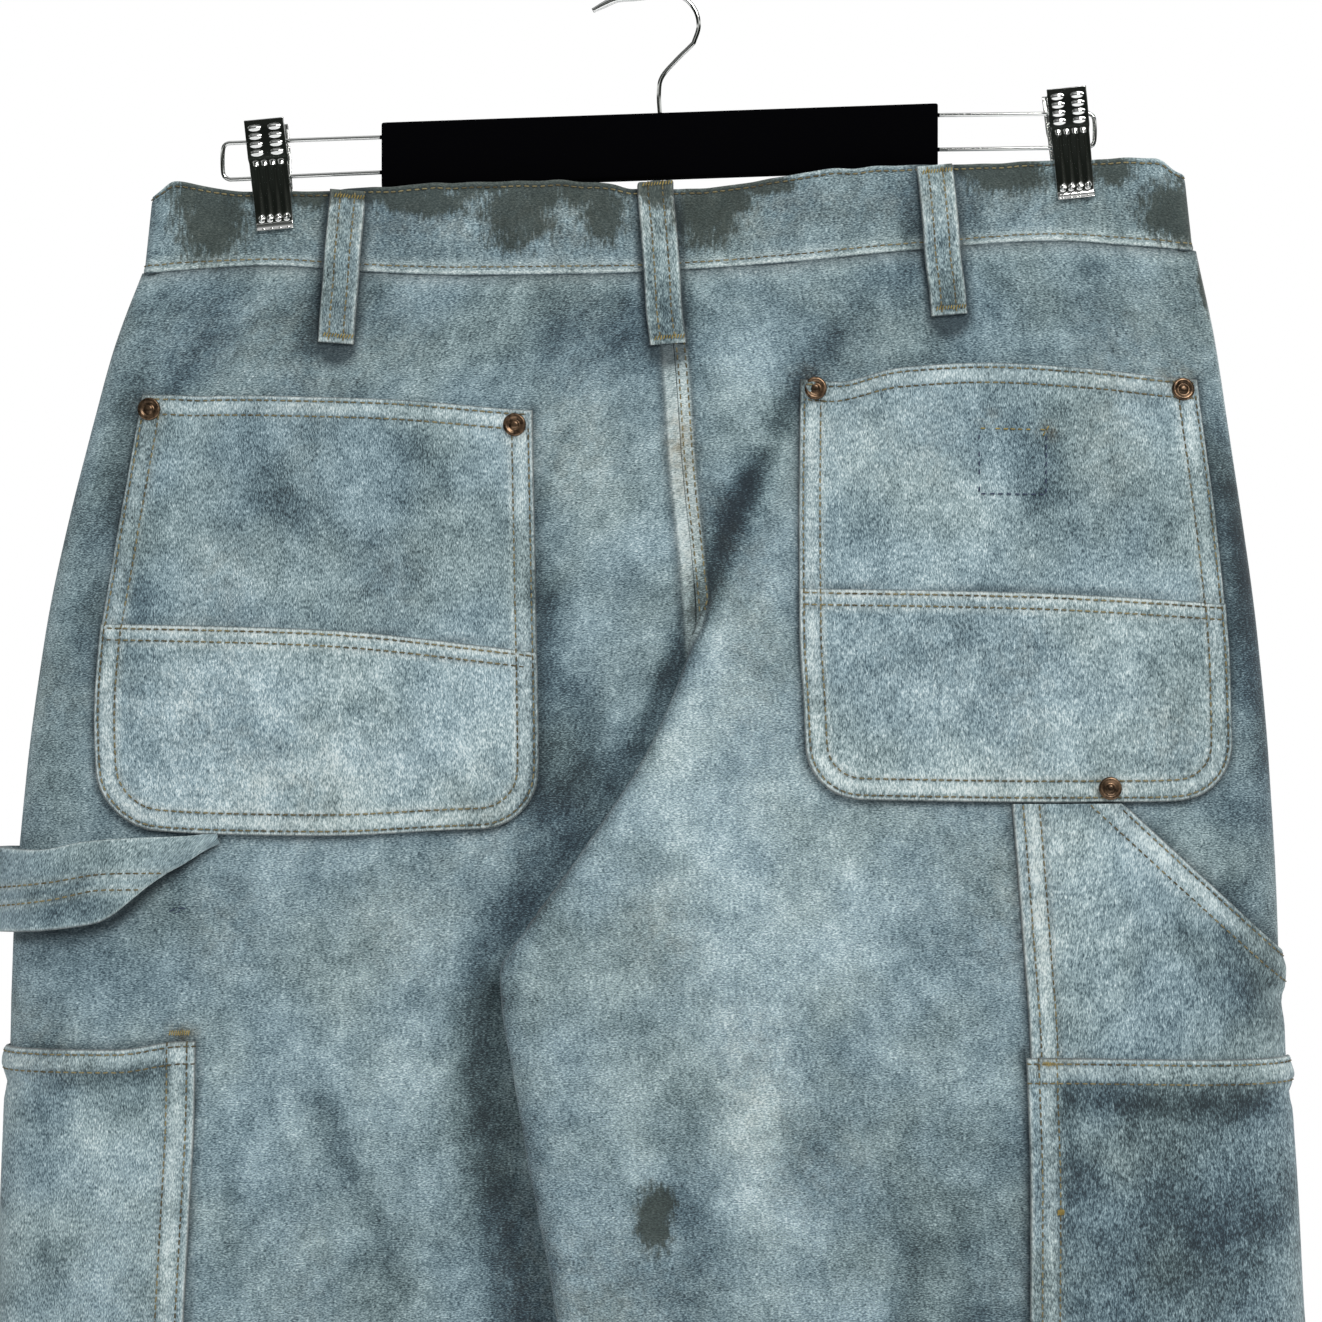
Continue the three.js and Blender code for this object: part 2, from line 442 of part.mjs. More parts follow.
// ---- hanger ----
function tube(name, points, d, material, tension = 0.5) {
  const curve = new THREE.CatmullRomCurve3(points, false, 'catmullrom', tension);
  const ring = new THREE.Shape();
  ring.absarc(0, 0, d / 2, 0, Math.PI * 2);
  const g = new THREE.ExtrudeGeometry(ring, { steps: points.length * 2, extrudePath: curve, curveSegments: 3 });
  return named(name, g, material);
}
const barTop = x => lerp(BAR.z0, BAR.z1, (x - BAR.x0) / (BAR.x1 - BAR.x0));
function hangerBar() {
  const s = new THREE.Shape();
  s.moveTo(BAR.x0 + 0.5, barTop(BAR.x0) - BAR.h);
  s.lineTo(BAR.x1, barTop(BAR.x1) - BAR.h);
  s.lineTo(BAR.x1 - 0.5, barTop(BAR.x1));
  s.lineTo(BAR.x0, barTop(BAR.x0));
  const g = new THREE.ExtrudeGeometry(s, { depth: BAR.y - 2, bevelThickness: 1, bevelSize: 1, bevelOffset: -1, bevelSegments: 1 });
  g.rotateX(Math.PI / 2);
  g.translate(0, BAR.y / 2 - 1, 0);
  return named('hanger_bar', g, flock());
}
function hangerHook() {
  const pts = [V(-2.2, 0, barTop(-2.2) + 0.25), V(-2.6, 0, -42), V(-1.3, 0, -35), V(5, 0, -27.5), V(11.6, 0, -21)];
  for (const a of [-30, -5, 20, 45, 70, 95, 115]) {
    const t = a * Math.PI / 180;
    pts.push(V(1.1 + 13.4 * Math.cos(t), 0, -12.4 + 13.4 * Math.sin(t)));
  }
  pts.push(V(-13, 0, -1.3), V(-21, 0, -1.7), V(-26.5, 0, -4), V(-31, 0, -6.4));
  return tube('hanger_hook', pts, HOOK_D, chrome());
}
function hangerWire(name, xIn, zu0, zl0, xOut, zu1, zl1) {
  const s = Math.sign(xOut), r = 3;
  const pts = [V(xIn, 0, zu0), V(lerp(xIn, xOut, 0.5), 0, lerp(zu0, zu1, 0.5)), V(xOut - s * 2 * r, 0, zu1),
    V(xOut - s * 0.6 * r, 0, zu1 - 0.4), V(xOut, 0, zu1 - r), V(xOut, 0, zl1 + r), V(xOut - s * 0.6 * r, 0, zl1 + 0.4),
    V(xOut - s * 2 * r, 0, zl1), V(lerp(xIn, xOut, 0.5), 0, lerp(zl0, zl1, 0.5)), V(xIn, 0, zl0)];
  return tube(name, pts, WIRE_D, chrome());
}
// a jaw: bent plate, finger tab above, grip below; s is -1 on the seat side, +1 on the fly side
function jaw(name, x, zTop, lean, s, grip) {
  const outline = [[9.2, 0], [8.2, -12], [6.6, -19], [6.2, -26], [grip + 0.2, -33], [grip, -45.4], [grip + 1.6, -CLIP_L]];
  const shape = new THREE.Shape();
  outline.forEach(([y, z], i) => i ? shape.lineTo(y, z) : shape.moveTo(y, z));
  [...outline].reverse().forEach(([y, z]) => shape.lineTo(y + PLATE, z - (z === -CLIP_L ? 0 : 0.1)));
  const g = new THREE.ExtrudeGeometry(shape, { depth: CLIP_W, bevelEnabled: false });
  g.translate(0, 0, -CLIP_W / 2);
  g.applyMatrix4(new THREE.Matrix4().makeBasis(V(0, s, 0), V(0, 0, 1), V(s, 0, 0)));
  g.rotateY(lean * Math.PI / 180);
  g.translate(x, 0, zTop);
  return named(name, g, chrome());
}
function clipSpring(name, x, zTop, lean) {
  const k = Math.tan(lean * Math.PI / 180), pts = [];
  const z = -16.4, cx = x - 16.4 * k;
  for (const dy of [-6.6, 0, 6.6]) pts.push(V(cx, dy, zTop + z));
  const g = tube(name, pts, 3, chrome());
  return g;
}

// ---- assembly ----
function hanger() {
  const g = [hangerBar(), hangerHook(),
    hangerWire('hanger_wire_left', -121.8, -60.8, -75.9, -190, -63.2, -78.9),
    hangerWire('hanger_wire_right', 117.3, -51.3, -66.1, 184.6, -50.5, -65.2)];
  const clips = [['left', -171.5, -54.4, -5.5], ['right', 171.5, -41, -6]];
  for (const [side, x, z, lean] of clips) {
    g.push(jaw(`clip_${side}_back`, x, z, lean, -1, 4.4), jaw(`clip_${side}_front`, x, z, lean, 1, 4.4));
    g.push(clipSpring(`clip_${side}_spring`, x, z, -lean));
  }
  return g;
}
function shorts() {
  return [
    panel('back_panel_right', R, [...NEAR, OUTSEAM_R]), panel('back_panel_left', L, [...FAR, 7.5, 7.33, 7.17, OUTSEAM_L]),
    frontRight(), frontLeft(), facing('front_pocket_facing_right', R), facing('front_pocket_facing_left', L),
    flyShield(), waistband(),
    beltLoop('belt_loop_back_left', -135.5, -140.5, -81.5, -150.5),
    beltLoop('belt_loop_back_centre', -4, 1, -83, -151),
    beltLoop('belt_loop_back_right', 115, 121, -72.5, -138.5),
    beltLoop('belt_loop_front_left', -104, -106, -83, -152, true),
    beltLoop('belt_loop_front_right', 96, 98, -75, -144, true),
    backPocket('back_pocket_left', POCKET_L), backPocket('back_pocket_right', POCKET_R),
    reinforcement('back_pocket_left_reinforcement', POCKET_L), reinforcement('back_pocket_right_reinforcement', POCKET_R),
    hammerLoop(), sidePocket(), toolUpper(), toolLower(),
    rivet('rivet_1', -219.5, -179, 0), rivet('rivet_2', -64, -185.7, 0), rivet('rivet_3', 64, -170, 0),
    rivet('rivet_4', 220.5, -170.4, 0), rivet('rivet_5', 188, -340, 1),
    waistButton(),
  ];
}
const group = new THREE.Group();
group.name = 'carpenter_cargo_shorts';
group.add(...shorts(), ...hanger());
export default group;
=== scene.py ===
import math
import bpy
import numpy as np
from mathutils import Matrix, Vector


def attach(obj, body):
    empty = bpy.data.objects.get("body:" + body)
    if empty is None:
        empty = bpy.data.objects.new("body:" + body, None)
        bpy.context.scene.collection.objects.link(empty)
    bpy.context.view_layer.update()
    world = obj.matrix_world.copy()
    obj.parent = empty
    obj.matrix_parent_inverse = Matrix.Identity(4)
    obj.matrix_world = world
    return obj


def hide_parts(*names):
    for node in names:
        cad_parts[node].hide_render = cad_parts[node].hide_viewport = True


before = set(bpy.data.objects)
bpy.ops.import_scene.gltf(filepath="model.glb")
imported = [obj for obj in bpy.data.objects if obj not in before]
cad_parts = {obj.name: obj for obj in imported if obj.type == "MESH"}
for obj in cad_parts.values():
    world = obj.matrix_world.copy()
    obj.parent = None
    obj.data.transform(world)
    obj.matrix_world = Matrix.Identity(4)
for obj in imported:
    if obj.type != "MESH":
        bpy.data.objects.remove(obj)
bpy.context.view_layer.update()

# the gap under the waistband, and the walls of the cloth and of the band
GAP, WALL, BAND = 0.3, 1.6, 2.8
WAIST, HEM = -113.0, -686.0
# how far a sewn-on patch stands off the middle of the cloth below, and its own thickness
LIFT, PW = WALL / 2 + 0.35, 1.5
rng = np.random.default_rng(11)

# ---- curves and noise


def smooth(a, b, x):
    t = np.clip((x - a) / (b - a), 0, 1)
    return t * t * (3 - 2 * t)


def lerp(a, b, t):
    return a + (b - a) * t


def bell(d, width):
    return np.exp(-(d / width) ** 2)


def rounded(d, radius, least=0):
    """The height, 0 to 1, of a rounded rim at distance d inside it."""
    return np.sqrt(np.clip(1 - (1 - np.clip(d / radius, 0, 1)) ** 2, least, 1))


def travel(p):
    """Distance gone along the first axis of a grid of points."""
    steps = np.linalg.norm(np.diff(p, axis=0), axis=-1)
    return np.concatenate([np.zeros((1,) + steps.shape[1:]), np.cumsum(steps, 0)])


def through(pairs):
    """A smooth curve through (x, y) pairs that never overshoots them."""
    p = np.array(pairs, float)
    x, y = p[:, 0], p[:, 1]
    h, d = np.diff(x), np.diff(y) / np.diff(x)
    m = np.zeros(len(x))
    m[0], m[-1] = d[0], d[-1]
    for i in range(1, len(x) - 1):
        m[i] = 0 if d[i - 1] * d[i] <= 0 else 2 * d[i - 1] * d[i] / (d[i - 1] + d[i])

    def at(v):
        v = np.asarray(v, float)
        i = np.clip(np.searchsorted(x, v, side="right") - 1, 0, len(x) - 2)
        t = np.clip((v - x[i]) / h[i], 0, 1)
        u = 1 - t
        return (y[i] * (1 + 2 * t) * u * u + m[i] * h[i] * t * u * u
                + y[i + 1] * t * t * (3 - 2 * t) - m[i + 1] * h[i] * t * t * u)
    return at


def noise(x, y, seed=0.0):
    """Smooth value noise, -1..1, one cell a unit."""
    x, y = np.broadcast_arrays(np.asarray(x, float), np.asarray(y, float))
    xi, yi = np.floor(x), np.floor(y)
    u, v = x - xi, y - yi
    u, v = u * u * (3 - 2 * u), v * v * (3 - 2 * v)

    def at(a, b):
        n = np.sin(a * 127.1 + b * 311.7 + seed * 74.7) * 43758.5453
        return 2 * (n - np.floor(n)) - 1
    return lerp(lerp(at(xi, yi), at(xi + 1, yi), u), lerp(at(xi, yi + 1), at(xi + 1, yi + 1), u), v)


def along(x, z, pts):
    """Distance from each (x, z) to a polyline, its sign (+ left of travel), and the share of its length."""
    x, z = np.broadcast_arrays(np.asarray(x, float), np.asarray(z, float))
    pts = np.array(pts, float)
    seg = np.hypot(*np.diff(pts, axis=0).T)
    start = np.concatenate([[0], np.cumsum(seg)])
    best, side, share = np.full(x.shape, 1e9), np.zeros(x.shape), np.zeros(x.shape)
    for i in range(len(seg)):
        (ax, az), (bx, bz) = pts[i], pts[i + 1]
        dx, dz = (bx - ax) / seg[i], (bz - az) / seg[i]
        t = np.clip((x - ax) * dx + (z - az) * dz, 0, seg[i])
        ex, ez = x - ax - t * dx, z - az - t * dz
        d = np.hypot(ex, ez)
        w = d < best
        best, share = np.where(w, d, best), np.where(w, (start[i] + t) / start[-1], share)
        side = np.where(w, np.sign(dx * ez - dz * ex), side)
    return best, side, share


def crease(x, z, pts, width, height, end=0.25):
    """A soft ridge (height > 0) or trough along a given line, dying out at both ends."""
    d, _, s = along(x, z, pts)
    return height * bell(d, width) * smooth(0, end, s) * smooth(1, 1 - end, s)


# ---- the two halves' sections
# z, seam x y, under-layer x y, inner fold x y half-depth, near-layer y at 0.2 0.5 0.82 of the way out,
# outer edge x y half-depth, far-layer y at 0.82 0.5 0.2, closing seam x y
RIGHT = [
    [-113, -1, -11, 8, -11, 18, -11, 0.1, -11, -8, -2.9, 227.5, 0, 4.2, 2.9, 8, 11, 0, 11],
    [-150, 4, -13, 13, -13, 27, -13.5, 0.3, -14, -13, -9, 235, 0, 7, 9, 13, 13, 3, 13],
    [-200, 7.5, -14, 18, -14, 40, -15.5, 0.8, -18, -18, -13, 243, 0, 10, 14, 17, 15, 7, 13],
    [-245, 12, -12.5, 17, -12.5, 27, -15.5, 3.5, -22, -21, -16, 250, 0, 12, 16, 18, 14, 11, 11.5],
    [-272, 14.6, -11.8, 15.2, -12.8, 15.5, -17, 5, -24, -22, -17, 253.5, 0, 13, 17, 18, 13, 13.6, 9.4],
    [-320, 16.5, -8.4, 6, -10, -4, -18, 6.2, -26, -24, -18, 258, 0, 14, 19, 18, 11, 16.5, 6.2],
    [-370, 17, -5.8, -10, -9, -36, -19, 7.5, -28, -26, -20, 261, 0, 15, 21, 16, 7, 17, 3.2],
    [-402, 17, -3.6, -18, -8, -59.5, -20, 8, -30, -28, -22, 262.4, 0, 15, 22, 15, 4, 17, 1.1],
    [-419, 17, -2.6, -22, -8, -69.5, -20.5, 8, -31, -29, -23, 263, 0, 15.5, 23, 14, 2, 17, -2.6],
    [-480, 17, -3.6, -20, -8, -61, -21, 8.5, -32, -30, -24, 266, 0, 16, 24, 16, 3, 17, -3.6],
    [-550, 18, -4, -14, -8, -48, -21, 9, -33, -31, -25, 270, 0, 16.5, 25, 18, 4, 18, -4],
    [-620, 19, -4, -8, -8, -36.5, -21, 9.5, -34, -32, -26, 274, 0, 17, 26, 20, 5, 19, -4],
    [-686, 20, -4, -3, -8, -26.5, -21, 10, -34, -33, -27, 277, 0, 17, 27, 21, 6, 20, -4],
]
LEFT = [
    [-113, 0, 11, -9, 11, -18, 11, 0.1, 11, 8, 2.9, -224.5, 0, 3.5, -2.9, -8, -11, -1, -11],
    [-150, 3, 13, -7, 13, -22, 13.5, 0.3, 14, 13, 9, -237, 0, 7, -9, -13, -13, 4, -13],
    [-200, 7, 13, -4, 13, -40, 15.5, 0.8, 18, 18, 13, -250, 0, 10, -14, -17, -14.5, 7.5, -14],
    [-245, 11, 11.5, 3, 12, -34, 16, 3, 22, 21, 16, -260.5, 0, 12, -16, -18, -13.5, 12, -12.5],
    [-272, 13.6, 9.4, 8, 10.5, -26, 17, 4.5, 24, 22, 17, -265.5, 0, 13, -17, -18.5, -13, 13.9, -9.6],
    [-320, 16.5, 8.4, 13, 9.5, -6, 18, 6.2, 26, 24, 18, -272, 0, 14, -19, -18, -11, 16.5, -6.2],
    [-370, 17, 5.8, 24, 8.5, 22, 19, 7.5, 28, 26, 20, -276.5, 0, 15, -21, -16.5, -8, 17, -3.2],
    [-402, 17, 3.6, 32, 8, 44, 20, 8, 30, 28, 22, -278.8, 0, 15, -22, -15, -6, 17, -1.1],
    [-419, 17, 2.6, 36, 8, 54, 20.5, 8, 31, 29, 23, -279.5, 0, 15.5, -23, -14, -4, 17, 2.6],
    [-480, 5, 3.6, 26, 8, 47, 21, 8.5, 32, 30, 24, -281.7, 0, 16, -24, -15, -3, 5, 3.6],
    [-550, -8, 4, 15, 8, 37, 21, 9, 33, 31, 25, -284, 0, 16.5, -25, -17, -3, -8, 4],
    [-620, -19, 4, 4, 8, 26, 21, 9.5, 34, 32, 26, -286, 0, 17, -26, -19, -3, -19, 4],
    [-686, -30, 4, -6, 8, 15, 21, 10, 34, 33, 27, -288, 0, 17, -27, -20, -3, -30, 4],
]
seam_z = through([[-226, -119.5], [-171, -116.3], [-130, -119], [-84, -120.8], [-28, -120.4], [12, -118.5],
                  [51, -115.7], [107, -110], [170, -105.8], [197, -107.5], [229, -109.7]])
top_z = through([[-224, -82.5], [-213, -80.4], [-181, -84.3], [-159, -84.3], [-122, -83.4], [-84, -81.3],
                 [-46, -80.8], [-23, -82.3], [-13, -84.7], [3, -84.9], [32, -82.3], [71, -76.1], [107, -74],
                 [130, -73.1], [164, -71], [200, -70.3], [216, -70.5], [226, -73]])


class Half:
    def __init__(self, rows, side):
        self.side = side
        self.cols = [through([[-r[0], r[k + 1]] for r in rows]) for k in range(len(rows[0]) - 1)]

    def corners(self, z):
        xs, ys, xu, yu, xf, yf, hf, y1, y2, y3, xo, yo, ho, g3, g2, g1, xt, yt = [c(-z) for c in self.cols]
        s = self.side

        def b(k):
            return lerp(xf, xo, k)

        def g(k):
            return lerp(xt, xo, k)
        fx, ox = (48 * xf - xu - b(0.2)) / 46, (48 * xo - b(0.82) - g(0.82)) / 46
        c = [(xs, ys), (xu, yu), (fx, yf - s * hf), (fx, yf + s * hf), (b(0.2), y1), (b(0.5), y2),
             (b(0.82), y3), (ox, yo + s * ho), (ox, yo - s * ho), (g(0.82), g3), (g(0.5), g2),
             (g(0.18), g1), (xt, yt)]
        c = np.array([[np.broadcast_to(p, z.shape) for p in q] for q in c])
        return np.concatenate([2 * c[:1] - c[1:2], c, 2 * c[-1:] - c[-2:-1]])


R, L = Half(RIGHT, -1), Half(LEFT, 1)


def tilt(x, y, z):
    fade = 1 - smooth(-WAIST, 340, -z)
    return (seam_z(x) - WAIST - 12 * smooth(2, 10, y) * bell(x, 80)) * fade


def skin(h, q, z):
    """Points on a half's cloth; q runs 0..12 round the section and z is the height before the tilt."""
    q, z = np.broadcast_arrays(np.asarray(q, float), np.asarray(z, float))
    shape = q.shape
    q, z = q.ravel(), z.ravel()
    c = h.corners(z)
    i = np.clip(np.floor(q).astype(int), 0, 11)
    t = q - i
    w = [(1 - t) ** 3 / 6, (3 * t ** 3 - 6 * t * t + 4) / 6, (-3 * t ** 3 + 3 * t * t + 3 * t + 1) / 6,
         t ** 3 / 6]
    n = np.arange(len(q))
    x = sum(w[k] * c[i + k, 0, n] for k in range(4))
    y = sum(w[k] * c[i + k, 1, n] for k in range(4))
    return np.stack([x, y, z + tilt(x, y, z)], -1).reshape(shape + (3,))


def unit(v):
    return v / np.maximum(np.linalg.norm(v, axis=-1, keepdims=True), 1e-9)


def outward(h, q, z):
    q, z = np.broadcast_arrays(np.asarray(q, float), np.asarray(z, float))
    a = skin(h, np.minimum(12, q + 0.02), z) - skin(h, np.maximum(0, q - 0.02), z)
    b = skin(h, q, np.minimum(WAIST, z + 1)) - skin(h, q, np.maximum(HEM, z - 1))
    return unit(np.cross(a, b))


def find_q(h, x, z, lo, hi):
    x, z = np.broadcast_arrays(np.asarray(x, float), np.asarray(z, float))
    lo, hi = np.full(x.shape, float(lo)), np.full(x.shape, float(hi))
    up = skin(h, hi, z)[..., 0] > skin(h, lo, z)[..., 0]
    for _ in range(26):
        mid = (lo + hi) / 2
        less = (skin(h, mid, z)[..., 0] < x) == up
        lo, hi = np.where(less, mid, lo), np.where(less, hi, mid)
    return (lo + hi) / 2


def nominal(x, z, y=-9.0):
    n = np.asarray(z, float) + 0 * x
    for _ in range(12):
        n = z - tilt(x, y, n)
    return n


# ---- creases and folds
SEAT_CREASES = [  # line, half-width, height
    ([(104, -128), (84, -158), (58, -190), (38, -221), (24, -247), (17, -272)], 9, -5.5),
    ([(124, -140), (98, -172), (76, -200), (56, -228), (40, -262), (28, -300)], 13, 2.6),
    ([(-52, -205), (-50, -250), (-41, -296), (-28, -332), (-30, -372)], 8, -3.6),
    ([(-66, -185), (-36, -208), (-14, -232), (-4, -262), (-8, -300)], 14, 2.6),
    ([(-172, -118), (-184, -140), (-196, -166), (-206, -200)], 7, -2.6),
    ([(-150, -122), (-158, -146), (-160, -170)], 9, 1.6),
    ([(-130, -124), (-112, -150), (-96, -172)], 9, -1.5),
    ([(-214, -196), (-176, -226), (-140, -262)], 12, -1.5),
    ([(-186, -300), (-140, -318), (-84, -322)], 16, 1.2),
    ([(-170, -452), (-150, -486), (-128, -530), (-112, -580)], 9, -3.6),
    ([(-178, -470), (-170, -520), (-150, -580), (-146, -640)], 13, 2.6),
    ([(-118, -440), (-98, -500), (-88, -580), (-84, -660)], 15, 2.2),
    ([(-186, -376), (-170, -404), (-158, -438)], 9, -2.0),
    ([(-196, -385), (-192, -420), (-186, -446)], 8, 1.6),
    ([(-30, -336), (8, -392), (36, -452), (44, -560), (52, -660)], 22, 3.2),
    ([(88, -430), (78, -480), (84, -540)], 22, -2.8),
    ([(2, -512), (16, -560), (22, -620), (30, -676)], 12, -3.4),
    ([(116, -520), (108, -580), (112, -660)], 12, -3.0),
    ([(128, -380), (124, -440), (132, -500)], 12, 2.2),
    ([(60, -340), (92, -366), (122, -372)], 12, -1.6),
    ([(177, -106), (168, -128), (150, -150)], 8, -1.8),
    ([(190, -112), (196, -140), (200, -160)], 8, 1.4),
    ([(222, -190), (232, -250), (240, -320)], 7, -2.2),
    ([(214, -346), (232, -352), (246, -340)], 7, -1.8),
    ([(-232, -180), (-246, -230), (-252, -300)], 7, -1.6),
    ([(150, -200), (176, -236), (196, -246)], 14, -1.4),
    ([(-150, -640), (-60, -652)], 14, 1.2),
    ([(66, -622), (128, -640)], 14, 1.2),
]
FLY_CREASES = [
    ([(-104, -132), (-82, -160), (-56, -192), (-38, -224), (-26, -252)], 10, -4.5),
    ([(-124, -146), (-96, -176), (-70, -208), (-50, -244)], 14, 2.4),
    ([(60, -190), (48, -240), (36, -290), (30, -340)], 9, -3.2),
    ([(174, -112), (150, -150), (120, -180)], 9, -2.2),
    ([(-176, -122), (-160, -160), (-150, -196)], 9, -2.2),
    ([(168, -440), (148, -490), (130, -560)], 11, -3.4),
    ([(190, -450), (180, -520), (170, -600)], 13, 2.4),
    ([(100, -430), (92, -520), (90, -640)], 15, 2.2),
    ([(-40, -360), (-60, -430), (-58, -540), (-62, -650)], 20, 2.8),
    ([(-110, -420), (-100, -490), (-108, -560)], 20, -2.8),
    ([(-190, -400), (-178, -480), (-184, -580)], 15, 2.4),
    ([(-226, -300), (-214, -380), (-220, -460)], 11, -2.4),
    ([(214, -300), (206, -370), (216, -450)], 11, -2.4),
]


def relief(x, z, seat):
    """How far the cloth stands out from its section, and the small drape over all of it."""
    out = np.zeros(np.broadcast(x, z).shape)
    for pts, w, k in (SEAT_CREASES if seat else FLY_CREASES):
        out = out + crease(x, z, pts, w, k)
    s = 0 if seat else 40
    out = (out + 1.15 * noise(x / 52, z / 74, 3 + s) + 0.5 * noise(x / 21, z / 30, 5 + s)
           + 0.17 * noise(x / 8, z / 10, 7 + s))
    seam = smooth(46, 4, seam_z(x) - z)
    out = (out + seam * 0.5 * np.sin(x / 4.1 + 2.2 * noise(x / 31, z / 60, 9 + s))
           * noise(x / 37, 0.3, 8 + s))
    hem = smooth(HEM + 60, HEM + 4, z)
    return (out * smooth(WAIST + 4, WAIST - 34, z)
            + hem * 1.3 * np.sin(x / 23 + 1.5 * noise(x / 60, 0, 2 + s)))


def displaced(h, q, z, extra=0.0):
    """Point and outward normal of the mid-cloth with its creases; extra is added along the normal."""
    p, n = skin(h, q, z), outward(h, q, z)
    near = smooth(2.35, 3.1, q) * smooth(7.5, 6.95, q)
    far = smooth(7.5, 8.05, q) * smooth(12, 11.3, q)
    seat_m, fly_m = (near, far) if h is R else (far, near)
    d = relief(p[..., 0], p[..., 2], True) * seat_m + relief(p[..., 0], p[..., 2], False) * fly_m
    edge = 1 - near - far
    d = (d + edge * 0.8 * noise(z / 45 + q * 0.05, 0.5, 21) * smooth(WAIST, WAIST - 40, z)
         * smooth(1.4, 2.2, q))
    return p + n * (d + extra)[..., None], n


def side_q(h, x, z, seat=True):
    n = nominal(x, z, -9.0 if seat else 9.0)
    near = (h is R) == seat
    return (find_q(h, x, n, 2.6, 7.5) if near else find_q(h, x, n, 12, 7.5)), n


# ---- paint: soft fields over the cloth, in x and z
# x, z, radius x, radius z, turn in degrees, amount: lightness of the wash and of painted light and shade
# (painted shade in folds, creases and at the sides, painted highlights on ridges)
SEAT_WASH_AND_SHADING = [
    (-228, -250, 9, 60, 8, -.5), (-220, -206, 10, 34, 10, -.35), (234, -214, 7, 45, -6, -.4),
    (105, -95, 6, 20, 0, -.8), (132, -92, 5, 16, 0, -.5), (248, -418, 14, 26, 0, -.9),
    (20, -420, 70, 60, 0, .12), (-120, -430, 40, 60, 0, .14), (244, -262, 8, 60, -3, -.7),
    (-32, -316, 15, 24, 10, -.45), (136, -138, 26, 20, 0, -.14),
    (206, -560, 46, 60, 0, -.35), (176, -372, 22, 14, -20, .28), (-232, -560, 26, 70, 0, -.22),
    (104, -108, 5, 26, 0, -.5),
    (-148, -215, 60, 30, -20, -.30), (-110, -310, 85, 34, 0, .30), (-190, -300, 30, 26, 0, .22),
    (95, -205, 34, 34, 0, .12), (170, -212, 42, 36, -25, -.30), (120, -300, 60, 34, 0, .24),
    (195, -300, 34, 26, 0, .1),
    (-30, -212, 26, 42, 20, .34), (-48, -262, 8, 52, -6, -.2), (50, -268, 10, 20, 0, .3),
    (-165, -335, 22, 16, 0, .3), (-84, -166, 14, 10, 0, .3), (-198, -353, 18, 7, 0, -.35),
    (-20, -150, 60, 20, 0, -.4), (150, -330, 60, 14, 0, .25), (170, -280, 40, 30, 0, .18),
    (-100, -150, 30, 15, 0, .14),
    (40, -150, 24, 30, 25, .28), (14, -284, 26, 34, 20, .22),
    (-200, -150, 9, 40, -22, -.2), (-226, -170, 12, 45, 10, -.25),
    (-84, -385, 60, 42, 0, .05), (-150, -500, 20, 44, 25, .2), (-150, -512, 9, 30, 24, -.5),
    (-124, -560, 9, 40, 22, -.4),
    (-104, -470, 14, 60, 8, .16), (-130, -340, 90, 16, 0, .35), (-210, -320, 20, 30, 0, .3),
    (-80, -320, 20, 30, 0, .25),
    (-46, -330, 18, 26, 30, -.5), (-82, -345, 26, 16, 10, -.25), (10, -340, 40, 34, 35, .42),
    (56, -392, 44, 46, 30, .42),
    (34, -480, 16, 80, 4, .38), (82, -486, 26, 52, 0, -.22), (2, -470, 20, 60, 0, -.12),
    (10, -556, 10, 42, -8, -.4),
    (108, -560, 11, 60, 0, -.3), (60, -590, 30, 50, 0, .2), (170, -390, 30, 36, -20, .22),
    (214, -420, 20, 30, 0, -.2),
    (204, -530, 62, 70, 0, -.75), (240, -510, 24, 36, 0, -.6), (190, -512, 20, 20, 0, .25),
    (216, -455, 40, 8, 0, .25),
    (-232, -520, 34, 60, 0, .22), (-226, -600, 40, 40, 0, .1), (-180, -400, 18, 30, 0, .12),
    (-236, -420, 30, 18, 0, -.35),
    (-250, -385, 26, 10, 0, -.7), (200, -150, 26, 20, 0, .12), (150, -140, 20, 20, 0, .16),
    (222, -150, 10, 30, 0, -.05),
    (90, -430, 14, 40, 0, .2), (-60, -660, 70, 20, 0, -.1), (120, -650, 90, 20, 0, .1),
    (-180, -655, 80, 18, 0, .1),
    (240, -380, 10, 60, 0, -.35), (-262, -480, 9, 120, 0, -.3), (258, -600, 9, 90, 0, -.3),
    (100, -395, 26, 30, 20, -.14),
]
